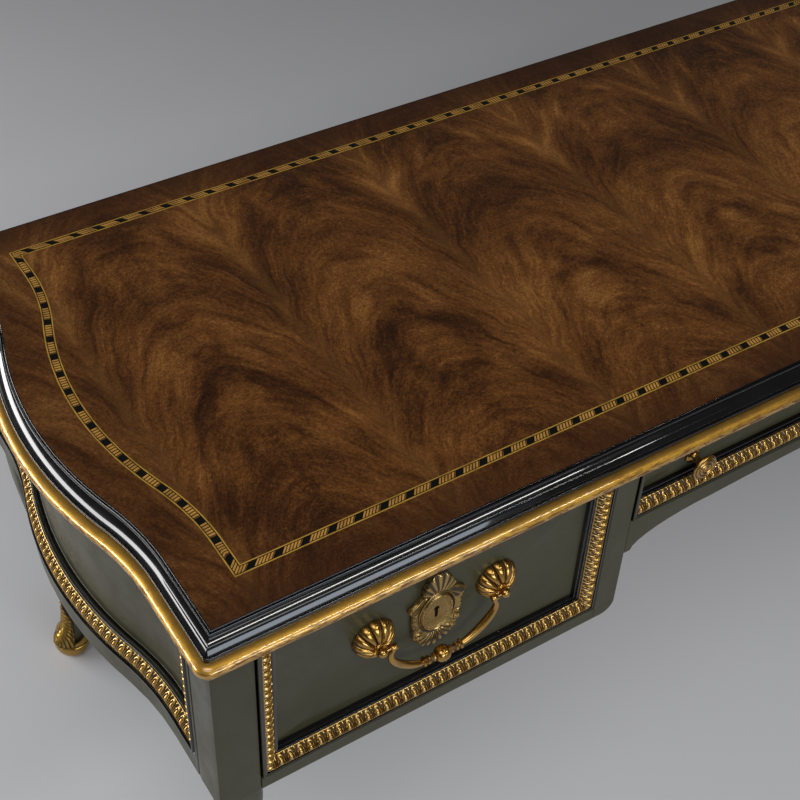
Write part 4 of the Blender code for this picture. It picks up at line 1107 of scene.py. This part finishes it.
def makeShoe(hand, sideX, sideY):
    post = desk["post"]
    sections, recesses = [], []
    for row in range(-1, shoe["rows"] + 3):
        share = min(max(row, 0) / shoe["rows"], 1.0)
        section, hollow = [], []
        for k in range(shoe["points"]):
            turn = 2 * math.pi * k / shoe["points"] - math.pi
            z = shoeRim(turn) * share ** 0.85
            shift, half = eased(shoeRows, 1, z), eased(shoeRows, 2, z)
            relief, deep = shoeRelief(turn, z)
            grow = shoe["relief"] * relief * min(1.0, share * 6)
            if row < 0:
                grow = -half * post * 0.6
            # above the rim the shoe turns in against the leg, painted dark there as the shade where they meet
            if row == shoe["rows"] + 1:
                grow, deep = -0.0030, 0.9
            if row == shoe["rows"] + 2:
                grow, deep, z = -0.0055, 1.0, z - 0.006
            around = turn + math.pi / 4
            section.append(legPoint(sideX, sideY, z, around, shift * post, half * post + grow, 2.0))
            hollow.append(deep)
        sections.append(section)
        recesses.append(hollow)
    bm = bmesh.new()
    sweep(bm, sections, values={"recess": recesses})
    finishPiece(pieceName(hand + "_shoe"), bm, "case", [shoeGold], 60, (hand + "_sabot",))


for sideX, wordX in ((-1, "left"), (1, "right")):
    for sideY, wordY in ((-1, "front"), (1, "rear")):
        makeLeg(f"{wordY}_{wordX}", sideX, sideY)
        makeShoe(f"{wordY}_{wordX}", sideX, sideY)
print("legs made")


# Half a profile, spun about the line through the origin that points at the viewer; reach grows towards them
def spun(bm, profile, steps):
    verts = [bm.verts.new((radius, -reach, 0)) for radius, reach in profile]
    edges = [bm.edges.new(pair) for pair in zip(verts, verts[1:])]
    bmesh.ops.spin(bm, geom=verts + edges, cent=(0, 0, 0), axis=(0, 1, 0), angle=2 * math.pi, steps=steps,
                   use_merge=True)
    bmesh.ops.remove_doubles(bm, verts=bm.verts, dist=desk["weld"])


def shankProfile():
    low = fittings["frontThickness"] - desk["fieldDepth"] + desk["seam"]
    high = low + fittings["nut"]
    tail = high + fittings["tail"]
    return [(0, -tail), (0.0020, -tail), (0.0025, -tail + 0.0006), (0.0025, -high), (0.0050, -high),
            (0.0055, -high + 0.0006), (0.0055, -low), (0.0025, -low), (0.0025, desk["seam"])]


# A fitting's own places start at the field behind it: x right, y towards the viewer, z up
def placed(bm, middle, height):
    bmesh.ops.translate(bm, verts=bm.verts, vec=(middle, fieldPlane, height))


# Catmull curve through the points, with so many parts between each two
def smoothRun(points, parts):
    run = []
    for i in range(len(points) - 1):
        a, b, c, d = (points[min(max(i + k, 0), len(points) - 1)] for k in (-1, 0, 1, 2))
        for part in range(parts):
            t = part / parts
            run.append(tuple(0.5 * (2 * q + (r - p) * t + (2 * p - 5 * q + 4 * r - s) * t * t
                                    + (3 * q - p - 3 * r + s) * t ** 3) for p, q, r, s in zip(a, b, c, d)))
    return run + [tuple(points[-1])]


fittings = {"frontThickness": 0.028, "nut": 0.004, "tail": 0.008, "ball": 0.0058}
pulls = {"halfSpan": 0.0765, "standoff": 0.0195, "radius": 0.0253, "rise": 0.0158, "lobes": 14,
         "hubDrop": 0.0058, "steps": 12, "rows": 20, "pivotDrop": 0.0046}


# Gadrooned shell: lobes leave a hub below its middle, swell, and end in a scalloped edge
def makeMount(name, middle, height, body, replaced):
    bm = bmesh.new()
    look = pulls
    profile = [(0.0, 0.0), (look["radius"] * 0.97, 0.0)]
    profile += [(look["radius"] * (1 - i / look["rows"]), 0.001) for i in range(look["rows"] + 1)]
    spun(bm, profile, look["lobes"] * look["steps"])
    layer = bm.verts.layers.float.new("recess")
    for vert in bm.verts:
        angle = math.atan2(vert.co.z, vert.co.x)
        share = math.hypot(vert.co.x, vert.co.z) / look["radius"]
        front = vert.co.y < -0.0005
        part = (angle / (2 * math.pi) * look["lobes"]) % 1.0
        lobe = math.sqrt(max(0.0, 1 - (2 * part - 1) ** 2))
        drop = look["hubDrop"]
        edge = drop * math.sin(angle) + math.sqrt(look["radius"] ** 2 - (drop * math.cos(angle)) ** 2)
        edge *= 0.91 + 0.09 * lobe
        vert.co.x = share * edge * math.cos(angle)
        vert.co.z = share * edge * math.sin(angle)
        if front:
            full = math.sqrt(max(0.0, 1 - share ** 2.3)) * (1 - 0.52 * (1 - min(1.0, share / 0.45)) ** 2)
            depth = 0.36 * min(1.0, share / 0.25)
            vert.co.y = -(0.0008 + look["rise"] * full * (1 - depth + depth * lobe))
            # hollows between the lobes and round the hub are darkened as grime and painted shade
            vert[layer] = (1 - lobe) ** 1.1 * 1.25 if share > 0.14 else 0.9
        else:
            vert.co.y = -desk["seam"]
    ball = fittings["ball"]
    profile = shankProfile() + [(0.0025, 0.004), (0.0058, 0.0078), (0.0062, 0.0088), (0.0054, 0.0098),
                                (0.0040, 0.0103), (0.0037, 0.0112), (0.0046, 0.0119), (0.0048, 0.0127),
                                (0.0040, 0.0136)]
    for i in range(13):
        angle = math.radians(-50 + 140 * i / 12)
        profile.append((ball * math.cos(angle) if i < 12 else 0.0, look["standoff"] + ball * math.sin(angle)))
    old = set(bm.verts)
    spun(bm, profile, 28)
    # two narrow bands of the post are darkened as grime and painted shade
    for vert in set(bm.verts) - old:
        reach = -vert.co.y
        vert[layer] = 0.5 if 0.0100 < reach < 0.0114 or 0.0133 < reach < 0.0146 else 0.0
    placed(bm, middle, height)
    finishPiece(name, bm, body, [antiqueBrass], 45, (replaced,))


# The bail's pin and knuckle as across and radius, then its arm as across, down and radius, then its rings
knuckle = ((-0.0720, 0.0016), (-0.0664, 0.0016), (-0.0663, 0.0033), (-0.0656, 0.0038), (-0.0600, 0.0038),
           (-0.0592, 0.0034), (-0.0589, 0.0012))
bailArm = ((-0.0618, 0.0004, 0.0026), (-0.0628, 0.0036, 0.0026), (-0.0650, 0.0080, 0.0028),
           (-0.0660, 0.0130, 0.0033), (-0.0645, 0.0200, 0.0039), (-0.0595, 0.0280, 0.0044),
           (-0.0520, 0.0362, 0.0046), (-0.0435, 0.0432, 0.0045), (-0.0350, 0.0485, 0.0041),
           (-0.0275, 0.0516, 0.0036))
bailRings = ((-0.0250, 0.0032), (-0.0246, 0.0050), (-0.0232, 0.0060), (-0.0217, 0.0051), (-0.0212, 0.0034),
             (-0.0195, 0.0032), (-0.0191, 0.0046), (-0.0178, 0.0053), (-0.0165, 0.0046), (-0.0160, 0.0031),
             (-0.0126, 0.0032), (-0.0119, 0.0045), (-0.0106, 0.0047), (-0.0099, 0.0040), (-0.0092, 0.0036),
             (-0.0086, 0.0036), (-0.0084, 0.0048), (-0.0078, 0.0060), (-0.0069, 0.0071), (-0.0057, 0.0080),
             (-0.0043, 0.0087), (-0.0028, 0.0090), (-0.0017, 0.0090), (-0.0014, 0.0084), (-0.0011, 0.0091),
             (0.0, 0.0096))


# The points of a ring round a place, in the plane of the across and y directions
def ringRound(place, across, radius, sides):
    return [place + radius * (math.cos(turn) * across + math.sin(turn) * Vector((0, 1, 0)))
            for turn in (2 * math.pi * k / sides for k in range(sides))]


def roundRod(bm, path, sides=24):
    sections, recesses = [], []
    for i, (x, drop, radius) in enumerate(path):
        before, after = path[max(i - 1, 0)], path[min(i + 1, len(path) - 1)]
        ahead = Vector((after[0] - before[0], 0, before[1] - after[1])).normalized()
        sections.append(ringRound(Vector((x, 0, -drop)), ahead.cross(Vector((0, 1, 0))), radius, sides))
        # the thin parts between the rings are darkened as grime and painted shade
        recesses.append([0.55 if abs(x) < 0.0245 and radius < 0.0042 else 0.0] * sides)
    sweep(bm, sections, values={"recess": recesses})


def makeBail(hand, middle, height):
    rings = [(x, 0.0519 + 0.0011 * (1 - (x / 0.025) ** 2), radius) for x, radius in bailRings]
    path = smoothRun(bailArm, 5) + rings
    path += [(-x, drop, radius) for x, drop, radius in reversed(path[:-1])]
    bm = bmesh.new()
    roundRod(bm, path)
    for way in (1, -1):
        parts = [(way * x, 0.0, radius) for x, radius in knuckle]
        roundRod(bm, parts if way > 0 else parts[::-1])
    bmesh.ops.translate(bm, verts=bm.verts, vec=(middle, fieldPlane - pulls["standoff"], height))
    finishPiece(hand + "Bail", bm, hand + "_bail", [antiqueBrass], 50, (hand + "_bail",))


# A fan is the spread of its lobes, its base, its swell and how far that reaches, its ridges and how near they
# begin, its fall at the edge and the sharpness of its hollows
plateLook = {"spokes": 240, "rings": 34, "ovalX": 0.0185, "ovalZ": 0.0262, "ovalDrop": 0.0050,
             "keyRadius": 0.0031, "keyHalf": 0.0018, "keyLength": 0.0140, "keyDrop": 0.0029,
             "shellFoot": 0.0215, "shellFan": (0.29, 4.0, 2.6, 0.040, 2.2, 0.012, 2.0, 1.4),
             "footTop": -0.0300, "footFan": (0.30, 3.0, 1.6, 0.030, 1.6, 0.010, 1.4, 1.6)}
# Right half of the cast plate's outline from its crest to its foot, scalloped in places
plateOutline = (
    (0.0, 0.0575), (0.0045, 0.0572), (0.0085, 0.0550), (0.0135, 0.0490), (0.0172, 0.0425),
    (0.0192, 0.0375), (0.0180, 0.0335), (0.0160, 0.0310), (0.0190, 0.0292), (0.0225, 0.0268),
    (0.0258, 0.0232), (0.0300, 0.0205), (0.0345, 0.0168), (0.0352, 0.0125), (0.0322, 0.0092),
    (0.0318, 0.0060), (0.0300, 0.0030), (0.0310, -0.0005), (0.0302, -0.0040), (0.0316, -0.0075),
    (0.0300, -0.0110), (0.0308, -0.0145), (0.0282, -0.0180), (0.0292, -0.0220), (0.0296, -0.0265),
    (0.0284, -0.0310), (0.0248, -0.0345), (0.0252, -0.0385), (0.0240, -0.0420), (0.0202, -0.0440),
    (0.0205, -0.0480), (0.0172, -0.0505), (0.0160, -0.0540), (0.0118, -0.0545), (0.0100, -0.0575),
    (0.0062, -0.0570), (0.0035, -0.0598), (0.0, -0.0602),
)


# The whole outline at even steps round the plate
def plateRoute(count):
    half = smoothRun(plateOutline, 8)
    whole = half + [(-x, z) for x, z in reversed(half[1:-1])]
    whole.append(whole[0])
    lengths = [0.0]
    for (ax, az), (bx, bz) in zip(whole, whole[1:]):
        lengths.append(lengths[-1] + math.hypot(bx - ax, bz - az))
    route, i = [], 0
    for k in range(count):
        target = lengths[-1] * k / count
        while lengths[i + 1] < target:
            i += 1
        share = (target - lengths[i]) / (lengths[i + 1] - lengths[i])
        (ax, az), (bx, bz) = whole[i], whole[i + 1]
        route.append((ax + (bx - ax) * share, az + (bz - az) * share))
    return route


# 0 up to low, 1 from high on, and a smooth rise between them
def soft(low, high, value):
    t = min(max((value - low) / (high - low), 0.0), 1.0)
    return t * t * (3 - 2 * t)


# Height in millimetres and hollow of a fan of lobes, from its own foot; the hollow is darkened as grime and
# painted shade
def fanRelief(x, rise, edge, fan):
    spread, base, swell, far, ridges, near, fall, sharp = fan
    reach = math.hypot(x, rise)
    ridge = 0.5 + 0.5 * math.cos(2 * math.pi * math.atan2(x, rise) / spread)
    tall = base + swell * math.sin(math.pi * min(1.0, reach / far)) + ridges * ridge * min(1.0, reach / near)
    return tall - fall * soft(0.03, 0.0, edge), 0.95 * (1 - ridge) ** sharp


# Height in millimetres of the plate's relief, then how hollow, hatched and pitted the place is; the hollow is
# darkened as grime and painted shade
def plateRelief(x, z, share):
    look = plateLook
    around = math.hypot(x / look["ovalX"], (z + look["ovalDrop"]) / look["ovalZ"])
    edge = 1 - share
    side = abs(x)
    ring = math.exp(-((around - 1.0) / 0.070) ** 2)
    if around < 0.97:
        hollow = 0.10 + 0.5 * soft(0.80, 0.93, around) * (1 - ring)
        return 3.3 + 1.3 * around ** 4 + 3.4 * ring, hollow, 0.0, soft(0.95, 0.85, around)
    rim = math.exp(-((edge - 0.055) / 0.030) ** 2)
    height = 3.1 + 1.6 * soft(0.42, 0.02, edge) + 1.1 * rim - 2.2 * soft(0.022, 0.0, edge)
    hollow = 0.42 - 0.4 * rim
    hatched = 0.0
    away = soft(1.06, 1.16, around)
    shell = soft(0.0255, 0.0310, z) * soft(0.0210, 0.0185, side)
    foot = soft(-0.0330, -0.0380, z) * soft(0.0215, 0.0180, side)
    if shell > 0:
        tall, deep = fanRelief(x, z - look["shellFoot"], edge, look["shellFan"])
        height += (tall - height) * shell
        hollow += (deep - hollow) * shell
    elif foot > 0:
        tall, deep = fanRelief(x, look["footTop"] - z, edge, look["footFan"])
        height += (tall - height) * foot
        hollow += (deep - hollow) * foot
    elif z < -0.0120:
        lobe = abs(math.cos((z + 0.0180) * math.pi / 0.0085))
        amount = soft(0.0130, 0.0190, side) * soft(0.34, 0.12, edge)
        height += 1.5 * lobe * amount
        hollow += (0.9 * (1 - lobe) ** 2 - hollow) * amount
    elif z > 0.0060:
        hatched = soft(-0.0105, -0.0130, x) * soft(0.02, 0.10, edge) * soft(1.12, 1.20, around) * 0.9
        fold = math.cos((side * 0.8 + z) * 2 * math.pi / 0.0105)
        height += 0.7 * fold * soft(0.0130, 0.0180, x)
        hollow += 0.25 * (1 - fold) * soft(0.0130, 0.0180, x)
    height = height * away + (3.4 + 3.4 * ring) * (1 - away) + 3.4 * ring * away
    moat = math.exp(-((around - 1.17) / 0.05) ** 2)
    return height - 0.8 * moat, min(1.0, max(0.0, hollow * away + 0.55 * moat - ring)), hatched, 0.0


# Reach of a keyhole's edge from the middle of its round: the round itself, or the slot below it
def keyholeEdge(angle, radius, half, length):
    down = abs(math.atan2(math.sin(angle + math.pi / 2), math.cos(angle + math.pi / 2)))
    slot = half / max(math.sin(down), 0.0001) if down < 1.2 else 0.0
    return max(radius, min(length / max(math.cos(down), 0.2), slot))


# A small rounded scroll along the places, thickest before its middle
def curl(bm, places, radius):
    sections = []
    for i, place in enumerate(places):
        before, after = Vector(places[max(i - 1, 0)]), Vector(places[min(i + 1, len(places) - 1)])
        ahead = (after - before).normalized()
        across = ahead.cross(Vector((0, 1, 0))).normalized()
        share = i / (len(places) - 1)
        here = radius * (0.45 + 0.55 * math.sin(math.pi * min(1.0, share * 1.15)) ** 0.7)
        sections.append(ringRound(Vector(place), across, here, 10))
    sweep(bm, sections)


# Scrolls beside the shell and at the lower corners: x, z, size, first angle, turns and thickness
plateScrolls = (
    (0.0166, 0.0352, 0.0036, 0.6, 1.5, 0.0015), (-0.0166, 0.0352, 0.0036, math.pi - 0.6, -1.5, 0.0015),
    (-0.0232, -0.0300, 0.0058, 1.9, 1.6, 0.0016), (0.0246, -0.0262, 0.0036, 1.2, -1.4, 0.0013),
    (0.0212, -0.0395, 0.0030, 1.2, -1.4, 0.0012),
)
# A second line beside the oval ring: from and to in degrees, and its reach as a share of the ring's
plateArcs = ((-35, 68, 1.24), (112, 200, 1.20))


def makePlate(hand, middle, height):
    look = plateLook
    bm = bmesh.new()
    sections, marks = [], {"recess": [], "hatched": [], "pitted": []}
    back = desk["seam"]
    route = plateRoute(look["spokes"])

    def add(section, hollow, hatched=None, pitted=None):
        sections.append(section)
        for key, row in (("recess", hollow), ("hatched", hatched), ("pitted", pitted)):
            marks[key].append(row or [0.0] * look["spokes"])

    for row in range(look["rings"] + 1):
        share = 1 - row / look["rings"]
        rows = []
        for outerX, outerZ in route:
            angle = math.atan2(outerZ, outerX)
            inner = keyholeEdge(angle, look["keyRadius"], look["keyHalf"], look["keyLength"])
            # the rings slide from the plate's outline to the keyhole's
            x = share * outerX + (1 - share) * inner * math.cos(angle)
            z = share * outerZ + (1 - share) * inner * math.sin(angle)
            tall, hollow, hatched, pitted = plateRelief(x, z, share)
            rows.append(((x, -0.001 * tall, z), hollow, hatched, pitted))
        section, hollow, hatched, pitted = (list(column) for column in zip(*rows))
        if row == 0:
            # the plate's edge against the field is darkened as painted shade
            add([(x, -back, z) for x, y, z in section], [0.6] * look["spokes"])
        add(section, hollow, hatched, pitted)
    # the keyhole's walls are painted dark as shade
    dark = [1.3] * look["spokes"]
    add([(x, y, z) for x, y, z in sections[-1]], dark)
    add([(x, -2.5 * back, z) for x, y, z in sections[-1]], dark)
    # behind the keyhole the plate closes in to the hole through the drawer's front
    small = []
    for outerX, outerZ in route:
        angle = math.atan2(outerZ, outerX)
        inner = keyholeEdge(angle, 0.0021, 0.00105, 0.0085)
        small.append((inner * math.cos(angle), -2.5 * back, inner * math.sin(angle) - look["keyDrop"]))
    add(small, dark)
    add([(x, -back, z) for x, y, z in small], dark)
    sweep(bm, sections, closedPath=True, values=marks)
    for x, z, size, start, turns, thick in plateScrolls:
        places = []
        for i in range(30):
            turn = start + turns * 2 * math.pi * i / 29
            reach = size * (1 - 0.80 * i / 29)
            places.append((x + reach * math.cos(turn), -0.0050 - 0.0003 * i / 29, z + reach * math.sin(turn)))
        curl(bm, places, thick)
    for low, high, wide in plateArcs:
        places = []
        for i in range(26):
            turn = math.radians(low + (high - low) * i / 25)
            places.append((look["ovalX"] * wide * math.cos(turn), -0.0043,
                           look["ovalZ"] * (wide * 0.96) * math.sin(turn) - look["ovalDrop"]))
        curl(bm, places, 0.0009)
    placed(bm, middle, height)
    finishPiece(hand + "Escutcheon", bm, hand + "_drawer", [castBrass], 60,
                (hand + "_escutcheon",))


knobLook = {"radius": 0.0165, "rose": 0.0095, "stem": 0.0045, "steps": 72, "rings": 26}


# Disc knob whose face carries rings that wind slowly towards its middle
def makeKnob(name, middle, height, replaced):
    look = knobLook
    rose, stem, disc = look["rose"], look["stem"], look["radius"]
    profile = shankProfile() + [
        (rose * 0.92, desk["seam"]), (rose, 0.0008), (rose, 0.0020), (rose * 0.84, 0.0032),
        (rose * 0.70, 0.0036), (rose * 0.62, 0.0050), (stem, 0.0064), (stem * 0.86, 0.0110), (stem, 0.0150),
        (stem * 1.7, 0.0172), (disc * 0.78, 0.0186), (disc * 0.95, 0.0202), (disc, 0.0218)]
    face = [(disc * (1 - i / look["rings"]) * 0.985, 0.0230) for i in range(look["rings"] + 1)]
    bm = bmesh.new()
    spun(bm, profile + face, look["steps"])
    layer = bm.verts.layers.float.new("recess")
    # the troughs of the face's rings and the stem under the disc are darkened as grime and painted shade
    for vert in bm.verts:
        if vert.co.y < -0.0225:
            radius = math.hypot(vert.co.x, vert.co.z) / disc
            angle = math.atan2(vert.co.z, vert.co.x)
            wave = math.cos(2 * math.pi * (radius * 3.6) - angle) * min(1.0, radius * 4)
            rim = min(1.0, (1 - radius) / 0.12)
            vert.co.y = -(0.0222 + 0.0034 * math.sqrt(max(0.0, 1 - radius ** 2)) + 0.00075 * wave * rim)
            vert[layer] = max(0.0, -wave) * 0.85
        elif -vert.co.y > 0.005 and math.hypot(vert.co.x, vert.co.z) < stem * 1.3:
            vert[layer] = 0.5
    placed(bm, middle, height)
    finishPiece(name, bm, "centre_drawer", [antiqueBrass], 50, (replaced,))


def middleOf(nodeName):
    low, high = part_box(nodeName)
    return (low + high) / 2


def pivotHeight(hand):
    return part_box(hand + "_bail")[1].z - pulls["pivotDrop"]


for hand in ("left", "right"):
    middle, height = middleOf(hand + "_drawer_front").x, pivotHeight(hand)
    for word, way in (("left", -1), ("right", 1)):
        makeMount(f"{hand}Mount{word.capitalize()}", middle + way * pulls["halfSpan"], height,
                  hand + "_drawer", f"{hand}_handle_mount_{word}")
    makeBail(hand, middle, height)
    makePlate(hand, middle, middleOf(hand + "_lock").z + plateLook["keyDrop"])
    knob = middleOf("centre_knob_" + hand)
    makeKnob("centreKnob" + hand.capitalize(), knob.x, knob.z, "centre_knob_" + hand)
print("fittings made")


room = {"floor": 14.0, "air": (0.86, 0.86, 0.88, 1), "airStrength": 0.10}
# Each lamp's place, target, width, height, power and colour
lamps = {
    "overheadBox": ((-1.6, -1.5, 3.4), (0, 0, 0.7), 2.2, 1.8, 34.0, (1, 1, 1)),
    "frontBox": ((0.41, -2.43, 2.75), (-0.3, -0.3, 0.7), 1.5, 0.12, 16.0, (1.0, 0.98, 0.94)),
    "lowFrontBox": ((-0.45, -3.0, 1.28), (-0.2, -0.3, 0.7), 2.2, 0.75, 29.0, (0.80, 0.88, 1.0)),
    "endBox": ((-2.9, 1.65, 1.18), (-0.85, 0, 0.72), 2.8, 0.62, 60.0, (1, 1, 1)),
}
# Angles in degrees and the lens in millimetres
photoView = {"yaw": 34.247, "pitch": 43.598, "roll": 2.780, "lens": 65.754,
             "place": (-1.1637, -1.0878, 1.8333)}


def makeFloor():
    bm = bmesh.new()
    bmesh.ops.create_grid(bm, x_segments=2, y_segments=2, size=room["floor"])
    mesh = bpy.data.meshes.new("studioFloor")
    bm.to_mesh(mesh)
    bm.free()
    finish, tree, shader = newFinish("studioFloor", Roughness=0.75)
    tone = cloud(ownPlace(tree), 1.3, 4.0, 0.5)
    put(blendColour(tone, (0.62, 0.62, 0.635, 1), (0.67, 0.67, 0.68, 1)), shader["Base Color"])
    mesh.materials.append(finish)
    floor = bpy.data.objects.new("studioFloor", mesh)
    bpy.context.scene.collection.objects.link(floor)


def softBox(name, place, target, width, height, power, colour):
    data = bpy.data.lights.new(name, "AREA")
    data.shape = "RECTANGLE"
    data.size, data.size_y = width, height
    data.energy = power
    data.color = colour
    lamp = bpy.data.objects.new(name, data)
    lamp.location = place
    lamp.rotation_euler = (Vector(target) - Vector(place)).to_track_quat("-Z", "Y").to_euler()
    lamp.visible_camera = False
    bpy.context.scene.collection.objects.link(lamp)


def makeCamera():
    yaw, pitch, roll = (math.radians(photoView[word]) for word in ("yaw", "pitch", "roll"))
    ahead = Vector((math.sin(yaw) * math.cos(pitch), math.cos(yaw) * math.cos(pitch), -math.sin(pitch)))
    right = Vector((math.cos(yaw), -math.sin(yaw), 0))
    up = right.cross(ahead)
    turnedRight = math.cos(roll) * right + math.sin(roll) * up
    turnedUp = -math.sin(roll) * right + math.cos(roll) * up
    data = bpy.data.cameras.new("photoCamera")
    data.lens, data.sensor_width, data.sensor_fit = photoView["lens"], 36.0, "HORIZONTAL"
    camera = bpy.data.objects.new("photoCamera", data)
    matrix = Matrix((turnedRight, turnedUp, -ahead)).transposed().to_4x4()
    camera.matrix_world = Matrix.Translation(photoView["place"]) @ matrix
    bpy.context.scene.collection.objects.link(camera)
    bpy.context.scene.camera = camera
    bpy.context.scene.view_settings.view_transform = "Standard"


makeFloor()
for name, values in lamps.items():
    softBox(name, *values)
world = bpy.data.worlds.new("studioAir")
world.use_nodes = True
air = world.node_tree.nodes["Background"]
air.inputs["Color"].default_value = room["air"]
air.inputs["Strength"].default_value = room["airStrength"]
bpy.context.scene.world = world
makeCamera()
print("room lit")
